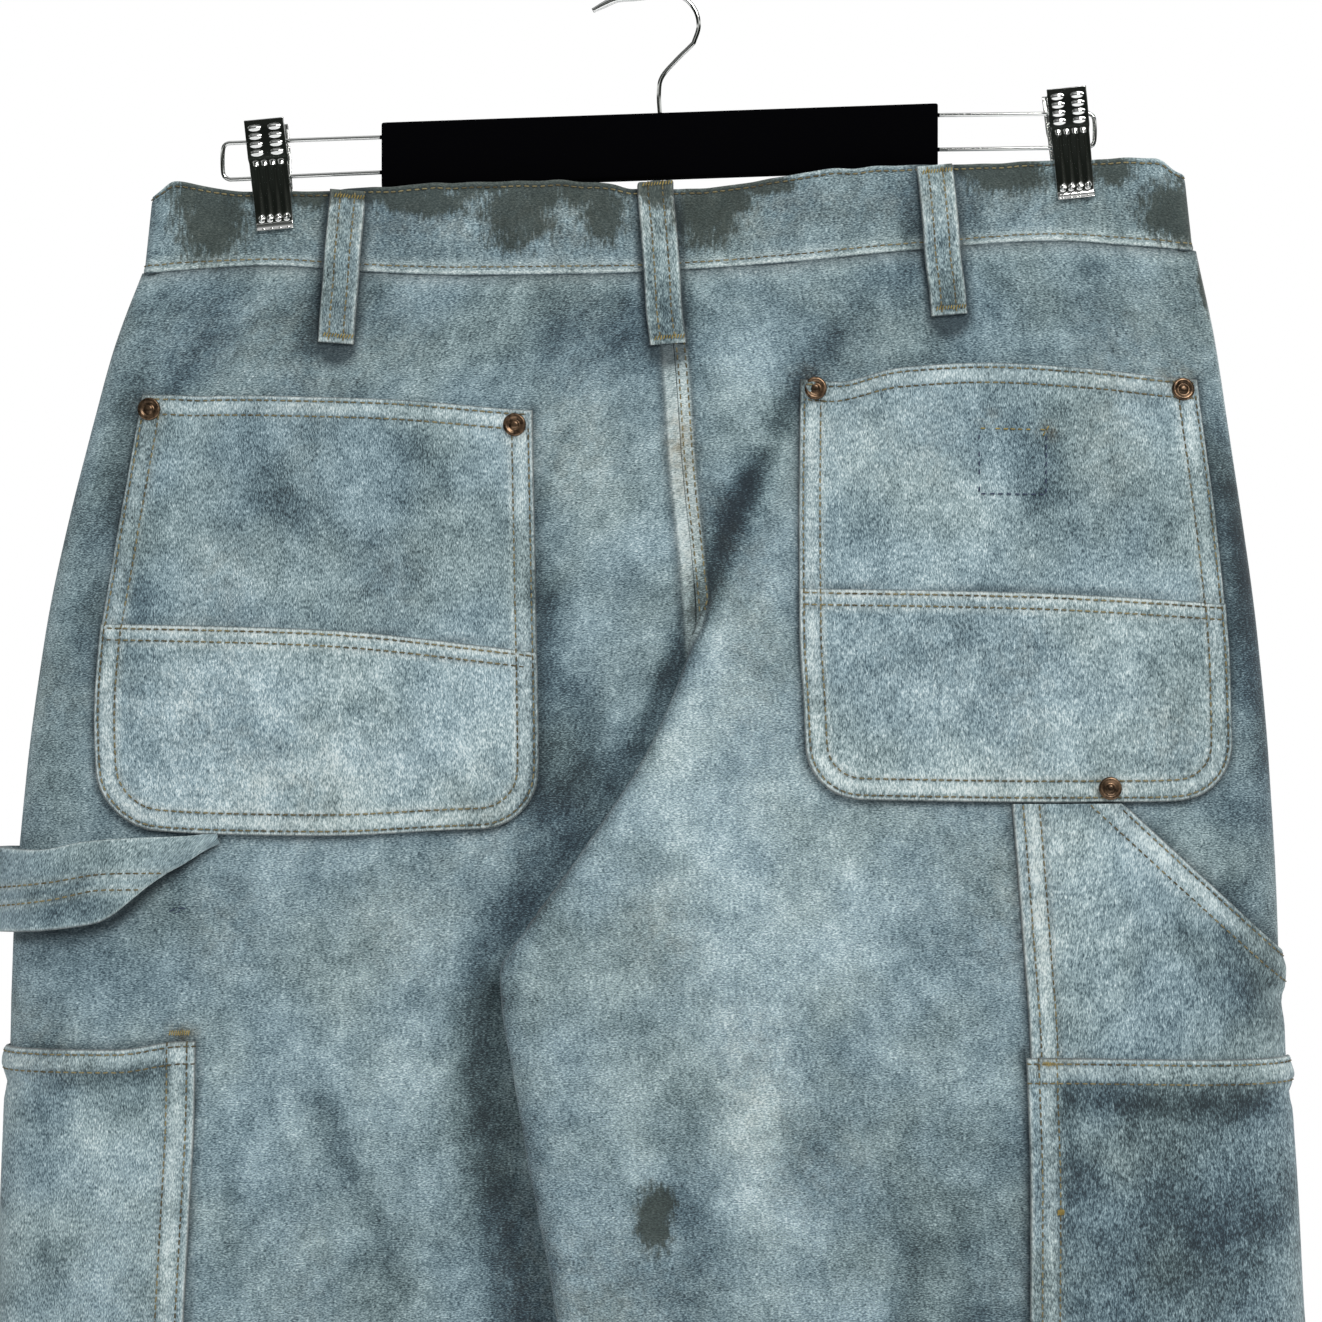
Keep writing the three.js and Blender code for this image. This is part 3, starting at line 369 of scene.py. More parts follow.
# the same as soft lines, mostly painted shade along creases, folds and the fold edge, with a few painted
# highlights: points, half-width, amount
SEAT_SHADING_LINES = [
    ([(99, -114), (76, -143), (58, -168), (41, -196)], 7, -.5), ([(62, -160), (44, -188)], 7, -.4),
    ([(44, -190), (30, -222), (20, -250), (8, -284), (-8, -317), (-26, -350), (-46, -380), (-66, -404)],
     7.5, -1.35),
    ([(44, -190), (32, -216), (22, -246), (12, -274)], 6, -.4),
    ([(-62, -450), (-56, -500), (-48, -550), (-38, -620), (-30, -690)], 7, -.35),
    ([(16, -240), (8, -275), (-6, -315), (-18, -345)], 6, -.5),
    ([(-30, -318), (-44, -348), (-60, -380), (-76, -414), (-80, -460), (-77, -500), (-70, -540),
     (-62, -580), (-50, -650), (-44, -690)], 11, -1.0),
    ([(-76, -440), (-72, -500), (-62, -550), (-52, -620)], 8, -.5),
    ([(-200, -385), (-212, -377), (-198, -366)], 4, -.4),
    ([(-250, -136), (-150, -140), (0, -142), (150, -136), (250, -130)], 22, -.3),
    ([(60, -170), (46, -196), (34, -224)], 5, -.3),
    ([(-40, -290), (-34, -330), (-44, -356)], 9, -.5),
    ([(-48, -250), (-52, -290), (-54, -330), (-56, -356)], 7, -.8),
    ([(24, -262), (4, -306), (-20, -346), (-42, -378), (-56, -400)], 8, .62),
    ([(-80, -212), (-60, -238), (-52, -268)], 6, -.55), ([(-38, -182), (-50, -206), (-58, -236)], 5, -.5),
    ([(-44, -205), (-22, -232), (-2, -262)], 4, -.3), ([(-58, -200), (-30, -222), (-6, -246)], 4, .3),
    ([(-174, -112), (-190, -136), (-204, -162), (-214, -176)], 6, -.4),
    ([(-146, -112), (-150, -134), (-152, -160)], 6, -.55),
    ([(-126, -118), (-122, -140), (-112, -164)], 6, -.3), ([(-98, -118), (-92, -140), (-86, -160)], 8, .2),
    ([(-226, -150), (-240, -200), (-250, -260), (-256, -330)], 8, -.25),
    ([(-232, -190), (-240, -240), (-246, -300)], 5, -.35),
    ([(236, -176), (240, -200), (247, -250), (254, -320), (258, -380)], 8, -.5),
    ([(240, -200), (250, -270), (258, -340)], 6, -.6),
    ([(-151, -462), (-139, -494), (-123, -526), (-109, -562)], 6, -.75),
    ([(-176, -440), (-160, -480), (-150, -510), (-134, -548)], 6, .3),
    ([(-186, -372), (-176, -398), (-166, -430)], 6, -.4),
    ([(-178, -420), (-172, -450), (-170, -480)], 6, -.35),
    ([(-2, -498), (14, -528), (40, -556), (62, -590)], 8, -.4),
    ([(106, -520), (100, -560), (102, -620)], 8, -.6),
    ([(124, -500), (128, -560), (130, -620)], 8, -.5), ([(72, -370), (96, -388), (120, -398)], 7, .35),
    ([(28, -440), (34, -480), (40, -530)], 10, .3), ([(-24, -440), (-18, -480), (-10, -510)], 9, .22),
    ([(160, -466), (176, -470), (210, -474), (262, -474)], 6, -1.0),
    ([(166, -470), (172, -500), (170, -530)], 6, -.5),
    ([(250, -410), (232, -404), (214, -400)], 8, -.4), ([(176, -354), (214, -378), (252, -416)], 7, .4),
    ([(-262, -462), (-232, -462), (-206, -458)], 5, -.7),
    ([(-232, -480), (-236, -540), (-232, -620)], 12, .25),
    ([(170, -176), (160, -200), (166, -224)], 10, -.3), ([(96, -214), (120, -226), (150, -222)], 12, .22),
    ([(96, -290), (130, -272), (150, -262)], 8, -.28),
    ([(-190, -196), (-150, -226), (-112, -240)], 10, -.25),
    ([(-110, -190), (-84, -222), (-66, -254)], 8, -.3),
    ([(-210, -262), (-170, -264), (-90, -272)], 6, -.22),
    ([(14, -124), (26, -150), (34, -176)], 9, .35),
    ([(-24, -122), (-20, -150), (-16, -190), (-12, -236)], 7, -.2),
    ([(222, -114), (226, -130), (228, -146)], 6, -.45), ([(182, -112), (176, -140), (180, -160)], 6, -.1),
]
# the same for the fly side: dye wash together with painted shade in folds and at the sides, and painted
# highlights
FLY_WASH_AND_SHADING = [
    (-100, -220, 60, 60, 20, .25), (100, -220, 60, 60, -20, .2), (0, -180, 26, 60, 0, -.2),
    (-150, -460, 50, 90, 0, .3),
    (150, -460, 50, 90, 0, .28), (0, -480, 40, 120, 0, -.35), (-210, -300, 16, 90, 0, -.35),
    (210, -300, 16, 90, 0, -.3),
    (-90, -380, 40, 40, 30, -.25), (90, -360, 40, 40, -30, -.2), (-170, -600, 60, 40, 0, -.15),
    (150, -620, 60, 40, 0, -.2),
]
# dark, wet-looking stains: x, z, radius x, radius z, turn
STAINS = [
    (-194, -98, 17, 19, 0), (-200, -86, 14, 9, 0), (-102, -90, 24, 7, 0), (-114, -86, 12, 10, 0),
    (-63, -95, 17, 17, 0), (-52, -88, 12, 8, 0),
    (-26, -96, 11, 13, 0), (-36, -86, 12, 7, 0), (17, -95, 17, 16, 0), (27, -88, 12, 9, 0),
    (40, -83, 17, 5, 0), (145, -77, 22, 10, 0),
    (132, -74, 13, 7, 0), (192, -75, 11, 8, 0), (217, -93, 15, 15, 0), (222, -99, 9, 11, 0),
    (231, -124, 3, 14, 5),
    (-4.5, -521.5, 9, 15.5, 6), (-2, -514, 7, 8, 0), (-150, -86, 14, 7, 0), (-4, -86, 9, 9, 0),
]
FLY_STAINS = [(-150, -92, 14, 9, 0), (60, -92, 12, 10, 0), (120, -84, 16, 6, 0), (-60, -96, 16, 5, 0)]
# brown and olive dirt: x, z, radius x, radius z, turn, amount
GRIME = [
    (6, -192, 6, 12, 0, 1.15), (8, -208, 5, 12, 0, .6), (11, -240, 5, 26, -6, .32),
    (162, -189, 5, 4, 0, 1.3), (138, -183, 6, 4, 0, .7),
    (-206, -444, 7, 4, 0, 1.4), (219, -166, 9, 7, 0, .8), (-219, -178, 8, 7, 0, .7),
    (60, -166, 8, 6, 0, .7), (-64, -186, 8, 7, 0, .5),
    (188, -340, 8, 6, 0, .8), (-170, -330, 60, 30, 0, .22), (-20, -600, 30, 60, 0, .22),
    (60, -500, 40, 40, 0, .14),
    # the (-60, -560) entry darkens the left leg along the fold's edge: dirt and painted shade of the fold's
    # shadow together
    (-60, -560, 14, 90, 0, .3), (216, -318, 16, 20, 0, .3), (120, -290, 60, 30, 0, .14),
    (-233, -560, 30, 60, 0, .12),
    (24, -225, 9, 20, 20, .25), (-100, -100, 130, 12, 0, .35), (110, -90, 120, 12, 0, .3),
    (165, -455, 14, 4, 0, .6),
]


def lines(x, z, rows):
    out = np.zeros(np.broadcast(x, z).shape)
    for pts, w, k in rows:
        out = out + crease(x, z, pts, w, k, .1)
    return out


def blobs(x, z, rows, hard=False):
    out = np.full(np.broadcast(x, z).shape, -1.0 if hard else 0.0)
    for r in rows:
        a = math.radians(r[4])
        dx, dz = x - r[0], z - r[1]
        u, v = (dx * math.cos(a) + dz * math.sin(a)) / r[2], (-dx * math.sin(a) + dz * math.cos(a)) / r[3]
        d = np.hypot(u, v)
        out = np.maximum(out, 1 - d) if hard else out + r[5] * np.exp(-d * d * 1.1)
    return out


def paint(p, worn=None, shade=None):
    """The wash with its painted light and shade, stain, dirt, wear and the painted shade darkening of each
    vertex of a piece, from where it is on the shorts.
    """
    x, y, z = p[..., 0], p[..., 1], p[..., 2]
    seat = smooth(3, -3, y)
    # lightness: dye wash together with painted light and shade; on the fly side also painted shade and
    # highlights along its creases
    wash_and_shading = ((blobs(x, z, SEAT_WASH_AND_SHADING) + lines(x, z, SEAT_SHADING_LINES)) * seat
            + (blobs(x, z, FLY_WASH_AND_SHADING) + lines(x, z, [(p, w * .8, k * .13) for p, w, k in FLY_CREASES]))
            * (1 - seat))
    stain = np.where(seat > 0.5, blobs(x, z, STAINS, True), blobs(x, z, FLY_STAINS, True))
    strip = (1 - (top_z(x) - z + 0.5) / (7 + 3 * noise(x / 20, 1.7, 3))
             - 1.2 * smooth(88, 112, np.abs(x + 105)))
    grime = blobs(x, z, GRIME) * seat + 0.25 * blobs(x, z, [(0, -400, 60, 200, 0, 1)]) * (1 - seat)
    grime = grime + 0.28 * np.clip(noise(x / 38, z / 50, 31), 0, 1)
    return {"wash_and_shading": wash_and_shading, "stain": np.maximum(stain, strip), "grime": grime, "worn": np.zeros(x.shape)
            if worn is None else worn, "shade": np.zeros(x.shape) if shade is None else shade}


# ---- meshes


def mesh_from(name, verts, faces, material, attrs=None, flat_faces=()):
    me = bpy.data.meshes.new(name)
    me.from_pydata((np.asarray(verts).reshape(-1, 3) * 0.001).tolist(), [], faces
                   if isinstance(faces, list) else faces.tolist())
    me.update()
    me.polygons.foreach_set("use_smooth", np.ones(len(me.polygons), bool))
    for i in flat_faces:
        me.polygons[i].use_smooth = False
    for key, val in (attrs or {}).items():
        val = np.asarray(val, np.float32)
        kind = "FLOAT_VECTOR" if val.ndim > 1 and val.shape[-1] == 3 else "FLOAT"
        a = me.attributes.new(key, kind, "POINT")
        a.data.foreach_set("vector" if kind == "FLOAT_VECTOR" else "value", val.ravel())
    me.materials.append(material)
    ob = bpy.data.objects.new(name, me)
    bpy.context.scene.collection.objects.link(ob)
    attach(ob, "root")
    return ob


def grid_faces(nu, nv):
    """Quads of a closed shell: grid 0 outer, grid 1 inner, joined all round."""
    i, j = np.meshgrid(np.arange(nu - 1), np.arange(nv - 1), indexing="ij")

    def at(f, a, b):
        return f * nu * nv + a * nv + b
    quads = [np.stack([at(0, i, j), at(0, i + 1, j), at(0, i + 1, j + 1), at(0, i, j + 1)],
                      -1).reshape(-1, 4), np.stack([at(1, i, j), at(1, i, j + 1), at(1, i + 1, j + 1),
        at(1, i + 1, j)], -1).reshape(-1, 4)]
    a, b = np.arange(nu - 1), np.arange(nv - 1)
    quads.append(np.stack([at(0, a, 0), at(1, a, 0), at(1, a + 1, 0), at(0, a + 1, 0)], -1))
    quads.append(np.stack([at(0, a, nv - 1), at(0, a + 1, nv - 1), at(1, a + 1, nv - 1),
                           at(1, a, nv - 1)], -1))
    quads.append(np.stack([at(0, 0, b), at(0, 0, b + 1), at(1, 0, b + 1), at(1, 0, b)], -1))
    quads.append(np.stack([at(0, nu - 1, b), at(1, nu - 1, b), at(1, nu - 1, b + 1),
                           at(0, nu - 1, b + 1)], -1))
    return np.concatenate(quads)


def shell(name, p, n, hi, lo, material, worn=None, cloth=None, shade=None):
    """A closed sheet of cloth on a grid of points and normals; its faces lie hi and lo along them."""
    nu, nv = p.shape[:2]
    hi, lo = np.broadcast_to(hi, (nu, nv)), np.broadcast_to(lo, (nu, nv))
    outer, inner = p + n * hi[..., None], p + n * lo[..., None]
    faces = grid_faces(nu, nv)
    v = np.concatenate([outer.reshape(-1, 3), inner.reshape(-1, 3)])
    f = v[faces]
    vol = (np.einsum("ij,ij->i", f[:, 0], np.cross(f[:, 1], f[:, 2])).sum()
           + np.einsum("ij,ij->i", f[:, 0], np.cross(f[:, 2], f[:, 3])).sum())
    if vol < 0:
        faces = faces[:, ::-1]
    attrs = paint(p, worn, shade)
    if cloth is None:
        du = np.linalg.norm(np.diff(p, axis=0), axis=-1)
        dv = np.linalg.norm(np.diff(p, axis=1), axis=-1)
        cloth = np.stack([np.concatenate([np.zeros((1, nv)), np.cumsum(du, 0)]),
                          np.concatenate([np.zeros((nu, 1)), np.cumsum(dv, 1)], 1), np.zeros((nu, nv))], -1)
        cloth = cloth + np.array([sum(map(ord, name)) % 97 * 13.0, len(name) * 31.0, 0])
    attrs["weave"] = cloth
    attrs = {k: np.concatenate([a.reshape((-1,) + a.shape[2:])] * 2) for k, a in attrs.items()}
    ob = mesh_from(name, v, faces, material, attrs)
    return ob


def marks(length, step, edges=(), tail=()):
    """Positions from 0 to length: close steps listed in edges at the start, tail at the end, even between."""
    a, b = (edges[-1] if edges else 0), length - (tail[-1] if tail else 0)
    mid = np.linspace(a, b, max(2, int(round((b - a) / step)) + 1))
    return np.concatenate([list(edges[:-1]), mid, [length - t for t in reversed(tail[:-1])]])


FINE = (0, .25, .6, 1.0, 1.4, 2.0, 2.6, 3.3, 4.6, 6.2, 7.6, 8.4, 9.0, 9.6, 10.4, 12)
ROUND = (0, .25, .6, 1.0, 1.5, 2.2, 3.2)


def edge_height(d, t=PW, fold=9.0, s1=2.0, s2=9.0):
    """Height of a turned-in edge over the cloth below: rounded rim, thicker hem, stitch lines pulled down."""
    rim = rounded(d, 1.3)
    h = 0.25 + (t - 0.25) * rim + 0.55 * smooth(0.3, 1.6, d) * smooth(fold + 2.2, fold + 0.8, d)
    for s in (s1, s2):
        if s:
            h = h - 0.42 * bell(d - s, 0.75)
    return h


# ---- materials


def new_material(name):
    m = bpy.data.materials.new(name)
    m.use_nodes = True
    return m, m.node_tree, m.node_tree.nodes["Principled BSDF"]


class Nodes:
    """A few words for building node trees."""

    def __init__(self, tree):
        self.t = tree

    def new(self, kind, **props):
        n = self.t.nodes.new(kind)
        for k, v in props.items():
            setattr(n, k, v)
        return n

    def link(self, a, b):
        self.t.links.new(a, b)

    def put(self, socket, value):
        if hasattr(value, "is_output") or isinstance(value, bpy.types.NodeSocket):
            self.link(value, socket)
        else:
            socket.default_value = value

    def attr(self, name, out="Fac"):
        n = self.new("ShaderNodeAttribute")
        n.attribute_name = name
        return n.outputs[out]

    def math(self, op, a, b=0.0, c=0.0, clamp=False):
        n = self.new("ShaderNodeMath", operation=op, use_clamp=clamp)
        for s, v in zip(n.inputs, (a, b, c)):
            self.put(s, v)
        return n.outputs[0]

    def noise(self, vec, scale, detail=2.0, rough=0.5, stretch=(1, 1, 1)):
        m = self.new("ShaderNodeMapping")
        m.inputs["Scale"].default_value = [scale * s for s in stretch]
        self.link(vec, m.inputs["Vector"])
        n = self.new("ShaderNodeTexNoise")
        n.inputs["Scale"].default_value = 1.0
        n.inputs["Detail"].default_value = detail
        n.inputs["Roughness"].default_value = rough
        self.link(m.outputs[0], n.inputs["Vector"])
        return n.outputs["Fac"]

    def ramp(self, fac, stops, interp="LINEAR"):
        n = self.new("ShaderNodeValToRGB")
        n.color_ramp.interpolation = interp
        el = n.color_ramp.elements
        while len(el) < len(stops):
            el.new(0.5)
        for e, (at, col) in zip(el, stops):
            e.position, e.color = at, (*col, 1)
        self.put(n.inputs["Fac"], fac)
        return n.outputs["Color"]

    def mix(self, fac, a, b, blend="MIX"):
        n = self.new("ShaderNodeMix", data_type="RGBA", blend_type=blend)
        self.put(n.inputs[0], fac)
        for s, v in ((n.inputs[6], a), (n.inputs[7], b)):
            self.put(s, v if not isinstance(v, tuple) else (*v, 1))
        return n.outputs[2]

    def span(self, v, a, b, lo=0.0, hi=1.0):
        n = self.new("ShaderNodeMapRange", interpolation_type="SMOOTHSTEP")
        self.put(n.inputs["Value"], v)
        for k, x in (("From Min", a), ("From Max", b), ("To Min", lo), ("To Max", hi)):
            n.inputs[k].default_value = x
        return n.outputs["Result"]


def cloth_material(name, lift=0.0, turn=0.0):
    """Washed canvas: clouded fade, fine fibres, a twill rib, worn pale edges, dirt and dark water stains,
    with painted light and shade and painted shadow darkening taken from the vertex attributes.
    """
    m, tree, bsdf = new_material(name)
    k = Nodes(tree)
    w = k.attr("weave", "Vector")
    cloud = k.noise(w, 1 / 30, 3, 0.55)
    patch = k.noise(w, 1 / 9, 4, 0.62, (1.1, 0.9, 1))
    speck = k.noise(w, 1 / 2.6, 4, 0.7, (1.15, 0.8, 1))
    along_z = (1.45, 0.5, 1) if turn else (0.62, 1.35, 1)
    fibre = k.noise(w, 1 / 1.05, 2, 0.6, along_z)
    grain = k.noise(w, 1 / 0.66, 1, 0.5, along_z)
    # lightness from the wash attribute: dye wash together with painted light and shade
    f = k.math("MULTIPLY_ADD", k.attr("wash_and_shading"), 0.34, 0.50 + lift)
    for n, a in ((cloud, 0.62), (patch, 0.55), (speck, 0.52), (fibre, 0.80), (grain, 1.25)):
        f = k.math("ADD", f, k.math("MULTIPLY", k.math("SUBTRACT", n, 0.5), a))
    worn = k.attr("worn")
    f = k.math("ADD", f, k.math("MULTIPLY", worn, k.math("MULTIPLY_ADD", speck, 0.5, 0.08)))
    f = k.math("MULTIPLY_ADD", f, 1 / 1.5, 1 / 3)
    col = k.ramp(f, [(0.0, (.007, .013, .019)), (1 / 3, (.022, .036, .048)), (.48, (.058, .097, .120)),
                     (.633, (.148, .217, .247)), (.787, (.272, .368, .406)), (.92, (.440, .550, .585)),
                     (1.0, (.61, .70, .71))])
    pale = k.mix(k.math("MULTIPLY", worn, 0.55, clamp=True), col,
                 k.ramp(f, [((.2 + .5) / 1.5, (.17, .20, .18)), ((.55 + .5) / 1.5, (.37, .42, .40)),
                            ((.9 + .5) / 1.5, (.60, .64, .60))]))
    hue = k.noise(w, 1 / 55, 2, 0.5)
    green = k.ramp(f, [(0.0, (.008, .013, .014)), (1 / 3, (.023, .035, .036)), (.48, (.063, .093, .094)),
                       (.633, (.156, .212, .212)), (.787, (.285, .362, .360)), (.92, (.45, .54, .54)),
                       (1.0, (.61, .68, .67))])
    tint = k.mix(k.span(hue, .36, .68, 0, .6), pale, green)
    dirt = k.math("MULTIPLY", k.attr("grime"), k.span(k.noise(w, 1 / 6.5, 4, 0.65), .3, .68), clamp=True)
    mud = k.ramp(f, [(.15, (.016, .014, .010)), (.4, (.046, .040, .026)), (.667, (.118, .102, .064)),
                     (.933, (.23, .205, .14))])
    c = k.mix(k.math("MULTIPLY", dirt, .8, clamp=True), tint, mud)
    ragged = k.math("MULTIPLY", k.math("SUBTRACT", k.noise(w, 1 / 2.2, 5, 0.72, (1.5, 0.42, 1)), 0.5), 1.9)
    ragged = k.math("ADD", ragged, k.math("MULTIPLY",
                                          k.math("SUBTRACT", k.noise(w, 1 / 7.0, 2, 0.5), 0.5), 1.0))
    wet = k.span(k.math("ADD", k.attr("stain"), ragged), -.22, .42)
    soaked = k.mix(.5, k.mix(1.0, c, (.26, .25, .21), "MULTIPLY"), (.036, .048, .043))
    c = k.mix(k.math("MULTIPLY", wet, .95), c, soaked)
    c = k.mix(k.math("MULTIPLY", k.attr("shade"), .86, clamp=True), c, (.012, .020, .026))
    k.link(c, bsdf.inputs["Base Color"])
    bsdf.inputs["Roughness"].default_value = 0.93
    bsdf.inputs["Specular IOR Level"].default_value = 0.22
    bsdf.inputs["Sheen Weight"].default_value = 0.12
    bsdf.inputs["Sheen Roughness"].default_value = 0.6
    rib = k.new("ShaderNodeTexWave", wave_type="BANDS", bands_direction="DIAGONAL")
    mp = k.new("ShaderNodeMapping")
    mp.inputs["Scale"].default_value = (0.9, 0.9, 1)
    k.link(w, mp.inputs["Vector"])
    k.link(mp.outputs[0], rib.inputs["Vector"])
    rib.inputs["Scale"].default_value = 0.55
    rib.inputs["Distortion"].default_value = 0.6
    h = k.math("ADD", k.math("MULTIPLY", fibre, 0.9), k.math("MULTIPLY", rib.outputs["Fac"], 0.25))
    h = k.math("ADD", h, k.math("MULTIPLY", speck, 0.9))
    b = k.new("ShaderNodeBump")
    b.inputs["Strength"].default_value = 0.55
    b.inputs["Distance"].default_value = 0.00035
    k.link(h, b.inputs["Height"])
    k.link(b.outputs["Normal"], bsdf.inputs["Normal"])
    return m


def plain_material(name, color, rough, metal=0.0, **sockets):
    m, _, bsdf = new_material(name)
    bsdf.inputs["Base Color"].default_value = (*color, 1)
    bsdf.inputs["Roughness"].default_value = rough
    bsdf.inputs["Metallic"].default_value = metal
    for key, v in sockets.items():
        bsdf.inputs[key.replace("_", " ")].default_value = v
    return m


def mottled(name, a, b, rough, metal, scale, lo=.35, hi=.65):
    m = plain_material(name, a, rough, metal)
    k = Nodes(m.node_tree)
    pos = k.new("ShaderNodeTexCoord").outputs["Object"]
    c = k.mix(k.span(k.noise(pos, scale, 3, .6), lo, hi), a, b)
    k.link(c, m.node_tree.nodes["Principled BSDF"].inputs["Base Color"])
    return m


CLOTH = cloth_material("washed_canvas")
POCKET = cloth_material("washed_canvas_pocket", 0.045, 1)
BANDMAT = cloth_material("washed_canvas_band", -0.035)
LOOPMAT = cloth_material("washed_canvas_loop", -0.01, 1)
THREAD = mottled("tan_thread", (.075, .060, .027), (.22, .185, .09), .75, 0, 60)
TACK = mottled("tack_thread", (.17, .125, .03), (.33, .25, .07), .75, 0, 300)
NAVY = plain_material("navy_thread", (.030, .045, .085), .8)
COPPER = mottled("aged_copper", (.235, .150, .092), (.060, .040, .026), .34, .92, 330)
CHROME = plain_material("chrome", (.80, .81, .80), .08, 1.0)
FLOCK = plain_material("black_flock", (.0012, .0012, .0016), 1.0, 0, Sheen_Weight=.012,
                       Specular_IOR_Level=.0)

# ---- stitching
threads = {}


def bead(n_ring=5):
    """One stitch along +x of length 1, radius 1: vertices and triangles."""
    v, f = [(-.5, 0, -.35)], []
    for x, r in ((-.32, .85), (.32, .85)):
        for k in range(n_ring):
            a = 2 * math.pi * k / n_ring
            v.append((x, r * math.cos(a), r * math.sin(a)))
    v.append((.5, 0, -.35))
    for k in range(n_ring):
        j = (k + 1) % n_ring
        f += [(0, 1 + j, 1 + k), (1 + k, 1 + j, 1 + n_ring + j), (1 + k, 1 + n_ring + j, 1 + n_ring + k),
              (1 + 2 * n_ring, 1 + n_ring + k, 1 + n_ring + j)]
    return np.array(v), np.array(f)


BEAD_V, BEAD_F = bead()


def stitches(group, pts, nrm, pitch=3.35, length=2.6, dia=.84, sink=.1, skip=0.0):
    """Beads of thread along a line of surface points, lying in the cloth's surface."""
    pts, nrm = np.asarray(pts, float), unit(np.asarray(nrm, float))
    s = travel(pts)
    n = int(s[-1] / pitch)
    if n < 1:
        return
    c = (np.arange(n) + .5) * s[-1] / n + rng.normal(0, .12, n)
    if skip:
        c = c[rng.random(len(c)) > skip]

    def at(v):
        return np.stack([np.interp(v, s, pts[:, k]) for k in range(3)], -1)
    p, a, b = at(c), at(c - length / 2), at(c + length / 2)
    t = unit(b - a)
    m = unit(np.stack([np.interp(c, s, nrm[:, k]) for k in range(3)], -1))
    side = unit(np.cross(m, t))
    m = np.cross(t, side)
    yaw = rng.normal(0, .05, (len(c), 1))
    t2 = unit(t + side * yaw)
    side2 = np.cross(m, t2)
    ln, r = length * (1 + rng.normal(0, .05, (len(c), 1))), dia / 2
    v = ((p[:, None] + t2[:, None] * BEAD_V[None, :, :1] * ln[:, None]
          + side2[:, None] * BEAD_V[None, :, 1:2] * r
          + m[:, None] * (BEAD_V[None, :, 2:3] * r + r * .45 - sink)))
    g = threads.setdefault(group, [[], [], 0])
    f = BEAD_F[None] + (g[2] + np.arange(len(c))[:, None, None] * len(BEAD_V))
    g[0].append(v.reshape(-1, 3))
    g[1].append(f.reshape(-1, 3))
    g[2] += len(c) * len(BEAD_V)


def bar_tack(group, p, t, n, width, depth=1.9, rows=9):
    """A dense zigzag bar across t at point p."""
    p, t, n = (np.asarray(a, float) for a in (p, t, n))
    side = np.cross(n, t)
    for k in range(rows):
        u = (k / (rows - 1) - .5) * width
        a = p + t * u - side * depth / 2 + n * .12
        b = p + t * (u + width / rows * .6) + side * depth / 2 + n * .12
        stitches(group, [a, b], [n, n], pitch=depth * .9, length=depth + .5, dia=.66, sink=0)


def thread_objects():
    for g, (v, f, _) in threads.items():
        mat = {"navy": NAVY, "tack": TACK}.get(g.split("_")[0], THREAD)
        mesh_from("stitching_" + g, np.concatenate(v), np.concatenate(f), mat)


# ---- panels


def arc_columns(h, q0, q1, rows, count, fine=None):
    """q at even distances along the section from q0 to q1 (arrays over rows), with close columns at q0."""
    out = np.zeros((count, len(rows)))
    k = np.linspace(0, 1, 240)
    q = q0[None] + (q1 - q0)[None] * k[:, None]
    p = skin(h, q, np.broadcast_to(rows, q.shape))
    s = travel(p)
    for j in range(len(rows)):
        total = s[-1, j]
        if fine is None:
            want = np.linspace(0, total, count)
        else:
            want = np.concatenate([fine, np.linspace(fine[-1], total, count - len(fine) + 1)[1:]])
        out[:, j] = np.interp(want, s[:, j], q[:, j])
    return out


def panel_rows(step):
    return -marks(-HEM + WAIST, step, tail=(0, .3, .8, 1.6, 3, 6, 10.5, 11.5, 12.5, 13.5, 15)) + WAIST


SEAM_FINE = np.array([0, .4, 1, 2, 3, 4, 4.5, 5, 5.5, 6, 7])


